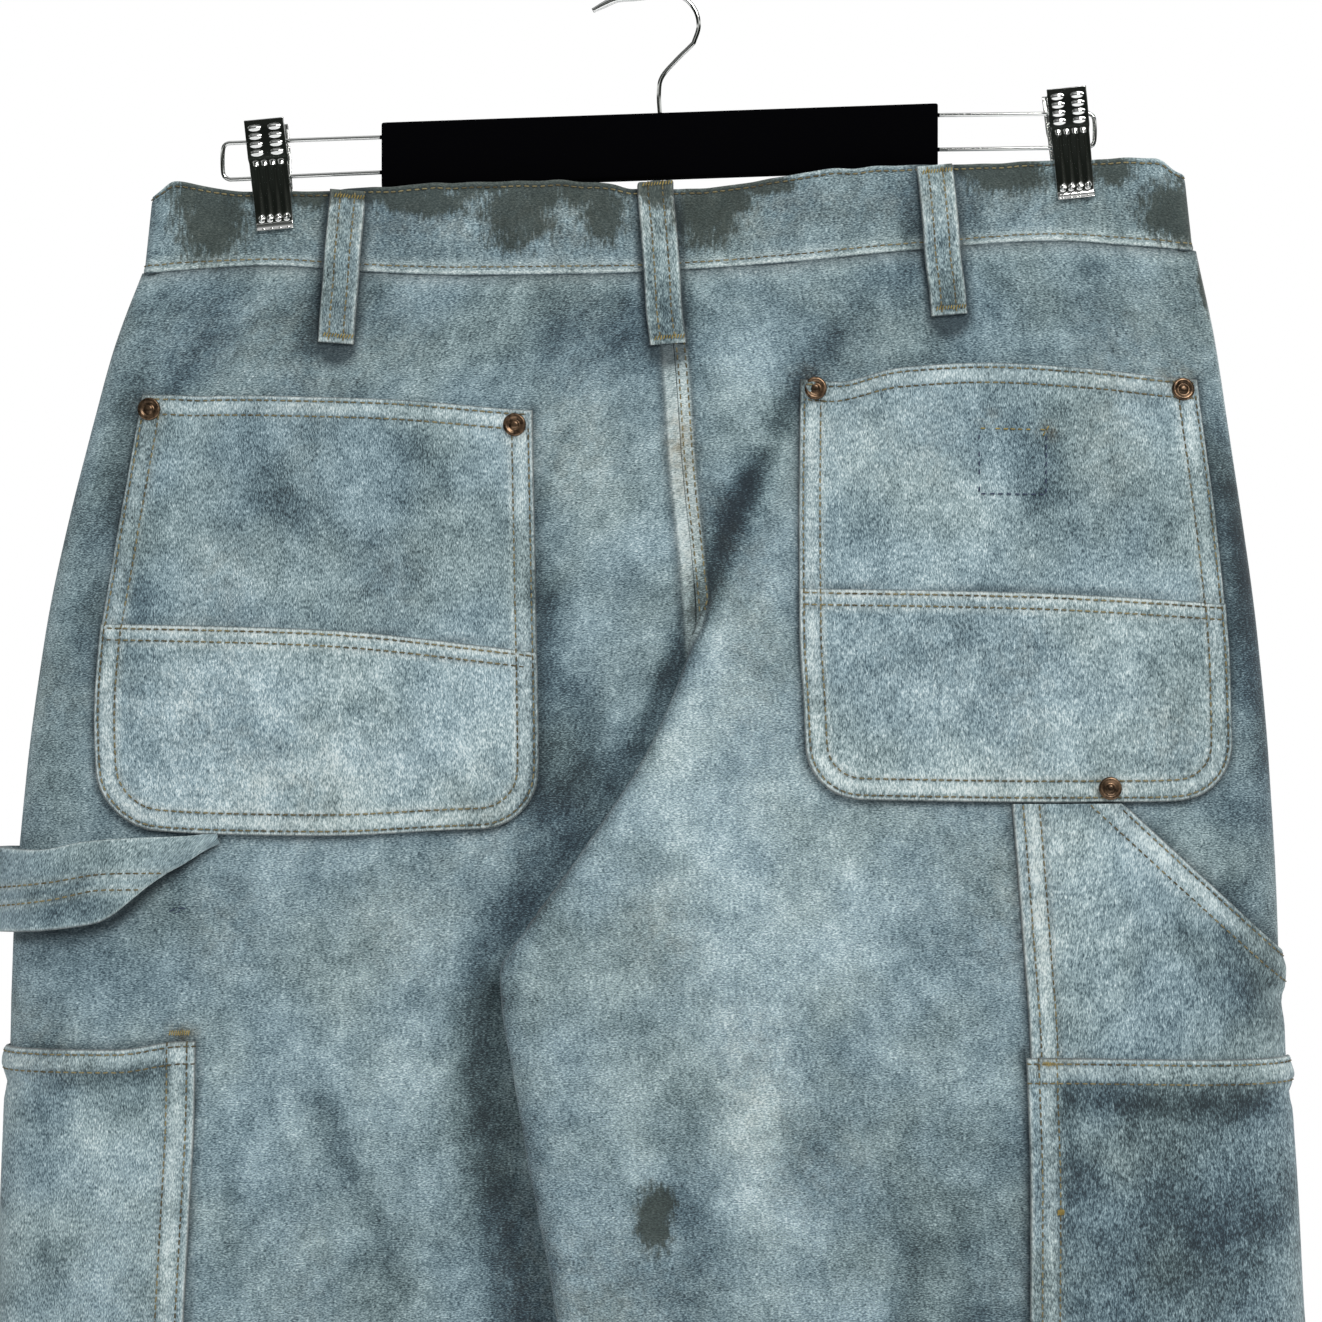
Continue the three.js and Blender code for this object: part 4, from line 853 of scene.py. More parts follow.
def panel(name, h, q0, q1, count, step, seam=False, trim=None):
    rows = panel_rows(step)
    rows[0] -= GAP
    nq0, nq1 = np.full(len(rows), float(q0)), np.full(len(rows), float(q1))
    if trim:
        nq1 = trim(rows)
    q = arc_columns(h, nq0, nq1, rows, count, SEAM_FINE if seam else None)
    sgn = np.sign(q[-1] - q[0])
    q[0] += sgn * 0.004
    q[-1] -= sgn * 0.006
    z = np.broadcast_to(rows, q.shape)
    hem = 0.75 * smooth(HEM + 13.4, HEM + 12.2, z) - 0.45 * bell(z - HEM - 10.5, .8)
    p0 = skin(h, q, z)
    s = travel(p0)
    extra = np.zeros(q.shape)
    worn = 0.55 * smooth(HEM + 16, HEM + 10, z) + .9 * smooth(HEM + 1.6, HEM, z)
    seam_top = smooth(9, 1, rows[0] - z)
    worn = np.maximum(worn, .35 * seam_top)
    if seam:      # the felled seat seam, raised over its own allowances
        above = smooth(*SEAM_END, z)
        extra = extra + (1.25 * smooth(5.4, 4.7, s) - .3 * (bell(s - 3.4, .6) + bell(s, .6))) * above
        worn = np.maximum(worn, .8 * smooth(7, 4.5, s) * above)
    worn = np.maximum(worn, .4 * bell(s[-1] - s, 3))
    p, n = displaced(h, q, z, extra)
    cloth = (np.stack([(s[-1] - s) * (1 if h is R else -1), z + 0 * s, 0 * s], -1)
             + np.array([31.0 * len(name), 57.0, 0]))
    shade = .75 * smooth(4.2, 1.0, rows[0] - z)
    seat_side = (h is R) == (q[count // 2, -1] < 7.5)
    shade = np.maximum(shade, contact_shadow(p) if seat_side else .5 * smooth(2.2, .3, s[-1] - s))
    if seam:
        shade = np.maximum(shade, .7 * bell(s - 6.2, .9) * smooth(*SEAM_END, z))
    hi, lo = WALL / 2 + hem, -WALL / 2 - .4 * smooth(HEM + 13.4, HEM + 12.2, z)
    rim = smooth(0, 1, (z - HEM) / 1.2)
    mid = (hi + lo) / 2
    hi, lo = mid + (hi - mid) * (.35 + .65 * rim), mid + (lo - mid) * (.35 + .65 * rim)
    ob = shell(name, p, n, hi, lo, CLOTH, worn, cloth, shade)
    pq, nn = displaced(h, q[:, -1], np.full(count, HEM + 11.0))
    stitches("seat" if seat_side else "fly", pq + nn * (WALL / 2 + .2), nn)
    return ob


OUT_R, OUT_L = 7.5, 7.0      # where each half's back panel ends, as q round the section
SEAM_END = (-300, -275)      # the felled seat seam dies out under the fold here
LOOPS = [((-135.5, -82.2), (-140.5, -150.5)), ((-4, -85.5), (1, -151)), ((115, -73.4), (121, -138.5))]
HAMMER_TOP = through([[-284, -368], [-259, -366], [-244, -362.6], [-227, -361.2], [-190, -360.4]])
HAMMER_LOW = through([[-284, -403], [-262, -400.6], [-248, -398.6], [-237, -396.4], [-231, -393],
                      [-223, -385.4], [-214, -377.6], [-202, -370], [-196, -365.4], [-189, -361.3]])
HAMMER_ROWS = (through([[-290, -383.5], [-259, -379.6], [-235, -375.9], [-190, -375]]),
               through([[-290, -391.5], [-259, -387], [-235, -382.4], [-190, -382]]))


def contact_shadow(p):
    """Painted shadow: the narrow dark line where a sewn-on piece meets the cloth under it, with wider painted
    shade beside the belt loops, under the waistband seam and under the hammer loop's lower edge.
    """
    x, z = p[..., 0], p[..., 2]
    out = np.zeros(x.shape)
    for P in (POCKET_L, POCKET_R):
        rim = dist_to(x, z, outline(P, P["top"]))
        out = np.maximum(out, np.maximum(.9 * bell(rim, 1.5), .5 * bell(rim, 3.2)))
    for a, b in LOOPS:
        out = np.maximum(out, .6 * smooth(13.5, 8.2, along(x, z, [a, b])[0])
                         + .3 * smooth(9.8, 8.4, along(x, z, [a, b])[0]))
    out = np.maximum(out, .8 * bell(seam_z(x) - .9 - z, 1.3))
    hx = np.linspace(-276, -192, 30)
    for pts, k, w in ((np.stack([hx, HAMMER_LOW(hx) - 1.2], -1), .97, 3.2),
                      ([(146.5, -347), (150.5, -400), (154, -450)], .85, 2.2),
                      ([(152, -450), (153.5, -510), (153.5, -560), (151, -655)], .85, 2.2),
                      ([(-199, -447), (-202, -530), (-206, -650)], .85, 2.2),
                      ([(-262, -451), (-232, -450), (-199, -446)], .5, 2.4),
                      ([(194, -346), (262, -409)], .6, 3.0)):
        out = np.maximum(out, k * bell(along(x, z, pts)[0], w))
    return out


def slant(h):
    a, b = (8.85, OUT_R) if h is R else (6.15, OUT_L)
    return lambda z: lerp(a, b, smooth(0, 1, (WAIST - z) / 150))


def make_panels(fine):
    st = 3.1 if fine else 6
    k = 1 if fine else .5
    obs = {
        "back_panel_right": panel("back_panel_right_cloth", R, 0, OUT_R, int(136 * k), st, seam=True),
        "back_panel_left": panel("back_panel_left_cloth", L, 12, OUT_L, int(112 * k), st, seam=True),
        "front_panel_right": panel("front_panel_right_cloth", R, 12, OUT_R, int(70 * k), st * 1.4,
         trim=slant(R)),
        "front_panel_left": panel("front_panel_left_cloth", L, 0, OUT_L, int(100 * k), st * 1.4,
         trim=slant(L)),
    }
    for node, ob in obs.items():
        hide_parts(node)


def seam_line(off, lift, zs):
    """Points along the seat seam, off mm to the right of it, lift mm out from the mid-cloth."""
    zn = np.asarray(zs, float)
    half = R if off > 0 else L
    p0 = skin(half, 0.0 if half is R else 12.0, zn)
    n = zn
    q = find_q(half, p0[..., 0] + off, n, 0 if half is R else 12, 7.5)
    p, nn = displaced(half, q, n)
    return p + nn * lift, nn


# ---- patch pockets on the seat
POCKET_L = dict(
    left=through([[172, -223], [246, -235.6], [279, -240.8], [309, -242.5], [332, -241.5], [362, -239]]),
    right=through([[172, -56.5], [255, -55], [325, -54], [362, -55]]),
    top=through([[-245, -172.3], [-223, -172.5], [-122, -174.8], [-56, -179.3], [-50, -179.5]]),
    bottom=through([[-245, -356], [-191, -359.5], [-145, -360.2], [-83, -357.6], [-50, -357]]), r=24,
    band=through([[-245, -270], [-150, -272.5], [-50, -282.5]]), h=L)
POCKET_R = dict(left=through([[160, 57.6], [228, 56.8], [273, 56.8], [305, 58.5], [346, 60]]),
                right=through([[160, 226.5], [184, 229], [228, 235], [265, 238.7], [295, 240.4],
                               [346, 240]]), top=through([[55, -166], [72, -166.6], [99, -161.8],
    [136, -159.4], [180, -161.7], [216, -165], [245, -167]]),
                bottom=through([[55, -344], [89, -344.8], [165, -345.9], [202, -345.9], [245, -344]]),
                r=22, band=through([[55, -255.4], [150, -257], [245, -262]]), h=R)


def pocket_xz(P, start, u, v):
    """(x, z) of pocket coordinates; the lower corners are rounded by lifting the bottom edge."""
    x = np.zeros(np.broadcast(u, v).shape)
    z = np.full(x.shape, -260.0)
    for _ in range(10):
        l, r = P["left"](-z), P["right"](-z)
        x = lerp(l, r, u)
        d = np.minimum(u, 1 - u) * (r - l)
        lift = np.where(d < P["r"], P["r"] - np.sqrt(np.clip(P["r"] ** 2 - (P["r"] - d) ** 2, 0, None)), 0)
        z = lerp(start(x), P["bottom"](x) + lift, v)
    return x, z


def outline(P, start):
    """The sewn edge of a pocket as (x, z), from its top left corner down and round to its top right."""
    v = np.linspace(0, 1, 60)
    u = .5 - .5 * np.cos(np.linspace(0, math.pi, 140))
    a = np.stack(pocket_xz(P, start, np.zeros(60), v), -1)
    b = np.stack(pocket_xz(P, start, u, np.ones(140)), -1)
    c = np.stack(pocket_xz(P, start, np.ones(60), v[::-1]), -1)
    pts = np.concatenate([a, b[1:-1], c])
    s = np.concatenate([[0], np.cumsum(np.hypot(*np.diff(pts, axis=0).T))])
    w = np.linspace(0, s[-1], 320)
    pts = np.stack([np.interp(w, s, pts[:, 0]), np.interp(w, s, pts[:, 1])], -1)
    for _ in range(6):
        pts[1:-1] = (pts[:-2] + 2 * pts[1:-1] + pts[2:]) / 4
    return pts


def inset(pts, d):
    t = np.gradient(pts, axis=0)
    t /= np.linalg.norm(t, axis=1, keepdims=True)
    return pts + np.stack([-t[:, 1], t[:, 0]], -1) * d


def on_seat(h, xz, lift):
    q, n = side_q(h, xz[..., 0], xz[..., 1])
    p, nn = displaced(h, q, n)
    return p + nn * np.asarray(lift)[..., None], nn


def dist_to(x, z, pts):
    """Distance to a dense polyline by its segments."""
    best = np.full(x.shape, 1e9)
    for a, b in zip(pts[:-1:2], np.concatenate([pts[2::2], pts[-1:]])):
        ab = b - a
        t = np.clip(((x - a[0]) * ab[0] + (z - a[1]) * ab[1]) / max(ab @ ab, 1e-9), 0, 1)
        best = np.minimum(best, np.hypot(x - a[0] - t * ab[0], z - a[1] - t * ab[1]))
    return best


def pucker(x, z, d, seed):
    """Small gathers between two rows of stitching and just inside them."""
    return .27 * bell(d - 5.5, 4.5) * np.sin((x + z) / 1.7 + 4 * noise(x / 9, z / 9, seed)) \
        + .26 * bell(d - 12, 6) * noise(x / 5.5, z / 5.5, seed + 1)


def sewn(d, *rows):
    """Painted shade in the little valley that a row of stitches pulls into the cloth."""
    return sum(.42 * bell(d - r, .62) for r in rows)


def puff(x, z, d_rim):
    return 1.0 * smooth(6, 60, d_rim) + .5 * noise(x / 26, z / 20, 12) * smooth(5, 25, d_rim)


def pocket_lift(P, x, z, rim, over=0.0):
    """How far a back pocket's outer face stands over the panel's mid-cloth."""
    d_rim, d_top = dist_to(x, z, rim), P["top"](x) - z
    sag = .9 * smooth(60, 0, d_top) * smooth(8, 50, d_rim)
    return LIFT + sag + edge_height(d_rim) + puff(x, z, d_rim) + over


def seat_pocket(name, P, fine):
    w, hgt = 184.0, 186.0
    st = 3.4 if fine else 7
    u = marks(w, st, FINE, FINE) / w
    v = marks(hgt, st, FINE, FINE) / hgt
    U, V = np.meshgrid(u, v, indexing="ij")
    x, z = pocket_xz(P, P["top"], U, V)
    rim = outline(P, P["top"])
    d_rim = dist_to(x, z, rim)
    d_top = P["top"](x) - z
    t_rim, t_top = edge_height(d_rim), edge_height(d_top, s1=2.2, s2=8.6, fold=8.4)
    base = edge_height(np.full(x.shape, 30.0))
    t = np.minimum(d_rim, d_top)
    hgt_out = np.where(t < 1.3, np.minimum(t_rim, t_top), base + (t_rim - base)
                       + (t_top - base) * smooth(0, 3, d_rim))
    hgt_out = hgt_out + pucker(x, z, d_rim, 3) + pucker(x, z, d_top, 6) * .6
    worn = np.maximum(bell(d_rim, 1.3), .5 * bell(d_rim - 5.2, 3.2))
    worn = np.maximum(worn, .5 * bell(d_rim - 9.6, 1.6))
    worn = np.maximum(worn, np.maximum(bell(d_top, 1.3) * .8, .42 * bell(d_top - 5, 3.2)))
    sag = .9 * smooth(60, 0, d_top) * smooth(8, 50, d_rim)
    xz = np.stack([x, z], -1)
    p, n = on_seat(P["h"], xz, LIFT + sag)
    up = puff(x, z, d_rim)
    over = z - P["band"](x)
    shade = np.maximum(.85 * smooth(.95, .2, np.minimum(d_rim, d_top)), .55 * bell(over - .8, 1.1))
    shade = np.maximum(shade, sewn(d_rim, 2, 9))
    shade = np.maximum(shade, sewn(d_top, 2.2, 8.6) * (d_rim > 2.5))
    ob = shell(name + "_cloth", p, n, hgt_out + up, .05 + up * .4, POCKET, worn,
               np.stack([x, z, 0 * x], -1) + len(name) * 17.0, shade)
    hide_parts(name)
    for d in (2.0, 9.0):
        line = inset(rim, d)
        line = line[4:-4]
        dd = np.full(len(line), d)
        lift = LIFT + edge_height(dd) + .02
        low = smooth(1, -1, line[:, 1] - P["band"](line[:, 0])) * 1.35
        pp, nn = on_seat(P["h"], line, lift + low + puff(line[:, 0], line[:, 1], dd))
        stitches("seat", pp, nn)
    xs = np.linspace(P["left"](175.0) + 2.5, P["right"](175.0) - 2.5, 90)
    for d in (2.2, 8.6):
        line = np.stack([xs, P["top"](xs) - d], -1)
        dip = edge_height(np.full(90, d), s1=2.2, s2=8.6, fold=8.4) - edge_height(np.full(90, 30.0))
        pp, nn = on_seat(P["h"], line, pocket_lift(P, line[:, 0], line[:, 1], rim, dip + .08))
        stitches("seat", pp, nn)


def pocket_half(name, P, fine):
    """The doubled lower half, its top edge turned in and sewn across twice."""
    w, hgt = 184.0, 92.0
    st = 3.4 if fine else 7
    u = marks(w, st, FINE, FINE) / w
    v = marks(hgt, st, (0, .25, .6, 1.0, 1.5, 2.2, 3.2, 4.4, 5.0, 5.6, 6.4, 8), FINE) / hgt
    U, V = np.meshgrid(u, v, indexing="ij")
    x, z = pocket_xz(P, P["band"], U, V)
    rim = outline(P, P["top"])
    d_rim, d_top = dist_to(x, z, rim), P["band"](x) - z
    t = np.minimum(np.minimum(edge_height(d_rim, 1.3), edge_height(d_top, 1.3, fold=7, s1=2.0, s2=0)), 9)
    t = (t + np.where(d_top > 4, -.3 * bell(d_top - 6.9, .75), 0) + pucker(x, z, d_rim, 14)
         + pucker(x, z, d_top, 16) * .7)
    up = puff(x, z, d_rim)
    worn = np.maximum(bell(d_rim, 1.3), .55 * bell(d_rim - 5.2, 3.2))
    worn = np.maximum(worn, .5 * bell(d_rim - 9.6, 1.6))
    worn = np.maximum(worn, .85 * bell(d_top - 1.5, 3.0))
    worn = np.maximum(worn, .5 * bell(d_top - 7.2, 1.8))
    p, n = on_seat(P["h"], np.stack([x, z], -1), np.full(x.shape, LIFT + PW - .15))
    shade = np.maximum(.8 * smooth(.95, .2, np.minimum(d_rim, d_top)),
                       np.maximum(sewn(d_rim, 2, 9), sewn(d_top, 2, 6.9) * (d_rim > 1.5)))
    ob = shell(name + "_cloth", p, n, t + up, -.5 + 0 * t, POCKET, worn, np.stack([x, z, 0 * x], -1)
               + len(name) * 17.0, shade)
    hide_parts(name)
    xs = np.linspace(float(P["left"](265.0)) + 1.5, float(P["right"](265.0)) - 1.5, 90)
    for d in (2.0, 6.9):
        line = np.stack([xs, P["band"](xs) - d], -1)
        pf = puff(line[:, 0], line[:, 1], dist_to(line[:, 0], line[:, 1], rim))
        pp, nn = on_seat(P["h"], line, LIFT + PW + 1.3 + pf)
        stitches("seat", pp, nn)


# ---- leg pockets, round the side


def leg_grid(h, inner, q_end, top, bottom, w, hgt, st):
    u = marks(w, st, FINE, ROUND) / w
    v = marks(hgt, st, FINE, FINE) / hgt
    U, V = np.meshgrid(u, v, indexing="ij")
    z = lerp(top(np.full(U.shape, 200.0 if h is R else -230.0)), bottom, V)
    for _ in range(5):
        xi = inner(-z)
        q0 = find_q(h, xi, z, 2.6 if h is R else 12, 7.5)
        k = np.linspace(0, 1, 60)
        qq = q0[..., None] + (q_end - q0[..., None]) * k
        pp = skin(h, qq, np.broadcast_to(z[..., None], qq.shape))
        s = np.concatenate([np.zeros(z.shape + (1,)),
                            np.cumsum(np.linalg.norm(np.diff(pp, axis=-2), axis=-1), -1)], -1)
        s /= s[..., -1:]
        q = np.zeros(z.shape)
        for i in range(z.shape[0]):
            for j in range(z.shape[1]):
                q[i, j] = np.interp(U[i, j], s[i, j], qq[i, j])
        x = skin(h, q, z)[..., 0]
        z = lerp(top(x), bottom, V)
    return q, z


def leg_pocket(name, h, inner, q_end, top, bottom, w, hgt, base, fine, s_in=(5, 12), s_top=(2, 9),
               sag=1.2, slope=None):
    st = 3.6 if fine else 8
    q, z = leg_grid(h, inner, q_end, top, bottom, w, hgt, st)
    p0 = skin(h, q, z)
    su = travel(p0)
    sv = np.concatenate([np.zeros((q.shape[0], 1)),
                         np.cumsum(np.linalg.norm(np.diff(p0, axis=1), axis=-1), 1)], 1)
    d_in, d_out = su, su[-1] - su
    d_top, d_bot = sv, sv[:, -1:] - sv
    if slope:
        d_top = slope(p0[..., 0], p0[..., 2])
    t_in = edge_height(d_in, s1=s_in[0], s2=s_in[1], fold=s_in[1] + 1)
    t_top = edge_height(d_top, s1=s_top[0], s2=s_top[1], fold=s_top[1] + 1)
    t_bot, t_out = edge_height(d_bot), edge_height(d_out, s1=0, s2=0, fold=2)
    base_t = edge_height(np.full(q.shape, 40.0))
    d = np.minimum(np.minimum(d_in, d_out), np.minimum(d_top, d_bot))
    tt = np.where(d < 1.3, np.minimum(np.minimum(t_in, t_out), np.minimum(t_top, t_bot)), base_t
                  + (t_in - base_t) * (d_in < 18) + (t_top - base_t) * (d_top < 16) * smooth(0, 3, d_in)
                  + (t_bot - base_t) * (d_bot < 16))
    x = p0[..., 0]
    tt = tt + pucker(x, z, d_in, 23) + pucker(x, z, d_top, 26) * .7
    bulge = (sag * smooth(4, 40, np.minimum(d_in, d_out)) * smooth(-4, 30, d_bot)
             * (1 - .5 * smooth(0, 40, d_top)))
    fold = (-1.2 * bell(d_top - s_top[1] - 6, 4.5) * smooth(4, 24, d_in)
            + 1.0 * bell(d_top - s_top[1] + 2, 4) * smooth(4, 24, d_in))
    worn = np.maximum(bell(d_in, 1.3), .5 * bell(d_in - (s_in[0] + s_in[1]) / 2, 4))
    worn = np.maximum(worn, np.maximum(bell(d_top, 1.3) * .9, .42 * bell(d_top - 5.5, 4)))
    p, n = displaced(h, q, z, base + bulge + fold)
    shade = np.maximum(.85 * smooth(.95, .2, np.minimum(d_in, d_top)),
                       np.maximum(sewn(d_in, *s_in), sewn(d_top, *s_top) * (d_in > s_in[0])))
    cloth = np.stack([d_out * (1 if h is R else -1), z, 0 * z], -1) + len(name) * 17.0
    ob = shell(name + "_cloth", p, n, tt, 0.05 - .5 * bulge, POCKET, worn, cloth, shade)
    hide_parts(name)

    def ride_on(dist, want, axis):
        """Where dist is want, as a line over the pocket's face, with its normals."""
        dd, pp, nn, up = (a if axis == 0 else np.swapaxes(a, 0, 1) for a in (dist, p, n, tt))
        line, out = [], []
        for i in range(dd.shape[1]):
            d = dd[:, i]
            if not d.min() <= want <= d.max():
                continue
            order = np.argsort(d)
            k = np.interp(want, d[order], order)
            a, b = int(k), min(int(k) + 1, len(d) - 1)
            nv = lerp(nn[a, i], nn[b, i], k - a)
            line.append(lerp(pp[a, i], pp[b, i], k - a) + nv * (lerp(up[a, i], up[b, i], k - a) + .02))
            out.append(nv)
        return np.array(line), np.array(out)
    for dist, rows, axis in ((d_in, s_in, 0), (d_top, s_top, 1), (d_bot, (2.0, 9.0), 1)):
        for want in rows:
            stitches("seat", *ride_on(dist, want, axis))


# ---- waistband


def spline(pts, n):
    """Even points along a smooth curve through pts."""
    p = np.array(pts, float)
    p = np.concatenate([2 * p[:1] - p[1:2], p, 2 * p[-1:] - p[-2:-1]])
    out = []
    for i in range(1, len(p) - 2):
        t = np.linspace(0, 1, 16, endpoint=False)[:, None]
        a, b, c, d = p[i - 1], p[i], p[i + 1], p[i + 2]
        out.append(.5 * (2 * b + (c - a) * t + (2 * a - 5 * b + 4 * c - d) * t ** 2
                         + (3 * b - a - 3 * c + d) * t ** 3))
    out = np.concatenate(out + [p[-2:-1]])
    s = np.concatenate([[0], np.cumsum(np.linalg.norm(np.diff(out[:, :3], axis=0), axis=1))])
    w = np.linspace(0, s[-1], n)
    return np.stack([np.interp(w, s, out[:, k]) for k in range(out.shape[1])], -1)


top_y = through([[0, 10.5], [70, 10.5], [112, 9.3], [146, 2.9], [160, 1.9], [172, 1.8], [186, 1.9],
                 [200, 2.7], [216, 3.4], [226, 3]])


def bottom_y(x, far):
    h = R if x > 0 else L
    near = (h is R) == (far < 0)
    q = find_q(h, np.array([float(x)]), np.array([WAIST]), 1 if near else 12, 7.5)
    return float(skin(h, q, np.array([WAIST]))[0, 1])


def band_path():
    pts = []

    def add(x, far, lift=0.0):
        pts.append([x, far * float(top_y(abs(x))) + lift, bottom_y(x, far) + lift, far])
    for x in (-20, 4, 30, 60, 90, 115, 135, 152, 166, 180, 196, 210, 219):
        add(x, 1, -1.2 if x < 22 else 0)
    pts.extend([[222.6, 3.4, 3.9, 1], [225, 1.6, 2, 1], [225.4, 0, 0, 0], [225, -1.6, -2, -1],
                [222.6, -3.4, -3.9, -1]])
    for x in (219, 210, 196, 180, 166, 152, 135, 115, 90, 60, 30, 0, -30, -60, -90, -115, -135, -152,
              -166, -180, -196, -208, -216):
        add(x, -1)
    pts.extend([[-219.6, -3.4, -3.9, -1], [-222, -1.6, -2, -1], [-222.4, 0, 0, 0], [-222, 1.6, 2, 1],
                [-219.6, 3.4, 3.9, 1]])
    for x in (-216, -208, -196, -180, -166, -152, -135, -115, -90, -60, -34):
        add(x, 1)
    add(-12, 1, 1.4), add(4, 1, 2.6), add(22, 1, 2.6)
    return pts


BAND_PTS = band_path()


def band_surface(path, w):
    """Mid-wall points of the band at rows w, 0 at its top edge and 1 at its seam."""
    x, yt, yb, s = (path[:, k][:, None] for k in range(4))
    fly = np.clip(s, 0, 1)
    xt = x * lerp(1, .984, smooth(203, 222, np.abs(x)))
    zt = top_z(x) - 9 * fly * bell(x, 80) - 4.5 * smooth(208, 224, np.abs(x)) ** 2
    zb = seam_z(x) - 12 * smooth(2, 10, yb) * bell(x, 80) - .9
    w = w[None]
    wy = np.where(w < .5, w / 2, 1.5 * w - .5)
    x2, z2 = lerp(xt, x, w), lerp(zt, zb, w)
    y2 = lerp(yt, yb, wy)
    wave = (.55 * noise(x2 / 16, z2 / 24, 51) * smooth(0, 6, np.abs(y2))
            + .16 * np.sin(x2 / 1.7 + 3 * noise(x2 / 12, 0, 4)) * smooth(.72, .95, w))
    clip = bell(np.abs(x2) - 172, 16)
    y2 = y2 + np.sign(y2) * wave * (1 - clip)
    z2 = z2 + .5 * noise(x2 / 9, s, 52) * (1 - w)
    return np.stack([x2, y2, z2], -1)


def waistband(fine):
    n = 560 if fine else 240
    path = spline(BAND_PTS, n)
    w = (marks(36.0, 2.2, (0, .15, .45, .9, 1.4, 1.8, 2.2, 2.7, 3.4, 4.6),
               (0, .15, .45, .9, 1.5, 2.3, 3.0, 3.5, 4.0, 4.6, 5.6)) / 36)
    p = band_surface(path, w)
    du, dv = np.gradient(p, axis=0), np.gradient(p, axis=1)
    nrm = unit(np.cross(du, dv))
    d_top, d_bot = w * 36, (1 - w) * 36
    t = BAND / 2 * rounded(np.minimum(d_top, d_bot), 1.4, .03)
    hi = (t - .34 * bell(d_top - 2.2, .7) + .35 * smooth(0, 1, d_bot) * smooth(4.6, 3.6, d_bot)
          - .3 * bell(d_bot - 3.5, .7))
    ends = np.minimum(np.arange(n), np.arange(n)[::-1]) * np.linalg.norm(path[1] - path[0])
    ends = .25 + .75 * rounded(ends, 1.5)
    worn = np.maximum(bell(d_bot - 1, 1.6), .5 * bell(d_bot - 4, 2))
    worn = np.maximum(worn, .5 * bell(d_top, 1.2))
    worn = worn * smooth(.2, 1.2, d_bot)
    shade = np.maximum(np.broadcast_to(np.maximum(.85 * smooth(1.1, .2, d_bot),
        np.maximum(sewn(d_top, 2.2), sewn(d_bot, 3.5))), p.shape[:2]), 0)
    for a, b in LOOPS:
        shade = np.maximum(shade, .75 * smooth(13.0, 8.2, along(p[..., 0], p[..., 2], [a, b])[0])
                           * (p[..., 1] < 0))
    cloth = np.stack(np.broadcast_arrays(np.cumsum(np.linalg.norm(np.diff(path[:, :2], axis=0,
        prepend=path[:1, :2]), axis=1))[:, None], w[None] * 36, 0), -1)
    ob = shell("waistband_cloth", p, nrm, hi[None] * ends[:, None], -t[None] * ends[:, None], BANDMAT,
               np.broadcast_to(worn, p.shape[:2]), cloth, shade)
    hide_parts("waistband")
    for d in (2.2 / 36, 1 - 3.5 / 36):
        line = band_surface(path, np.array([d]))[:, 0]
        nn = np.array([np.interp(d, w, nrm[i, :, k]) for i in range(n) for k in range(3)]).reshape(n, 3)
        pts = line + nn * (BAND / 2 - .05)
        k = int(.012 * n)
        seat_side = path[:, 3] < 0
        i0, i1 = np.argmax(seat_side), n - np.argmax(seat_side[::-1])
        stitches("fly", pts[k:i0], nn[k:i0])
        stitches("seat", pts[i0:i1], nn[i0:i1])
        stitches("fly", pts[i1:-k], nn[i1:-k])


def band_y(x, z, s):
    """The band's mid-wall depth on the seat side (s = -1) or the fly side (s = 1)."""
    rows = sorted([p for p in BAND_PTS if p[3] == s and abs(p[0]) < 221])
    xs, yt, yb = (np.array([r[k] for r in rows]) for k in range(3))
    w = np.clip((top_z(x) - z) / (top_z(x) - seam_z(x)), 0, 1)
    return lerp(np.interp(x, xs, yt), np.interp(x, xs, yb), np.where(w < .5, w / 2, 1.5 * w - .5))


# ---- belt loops


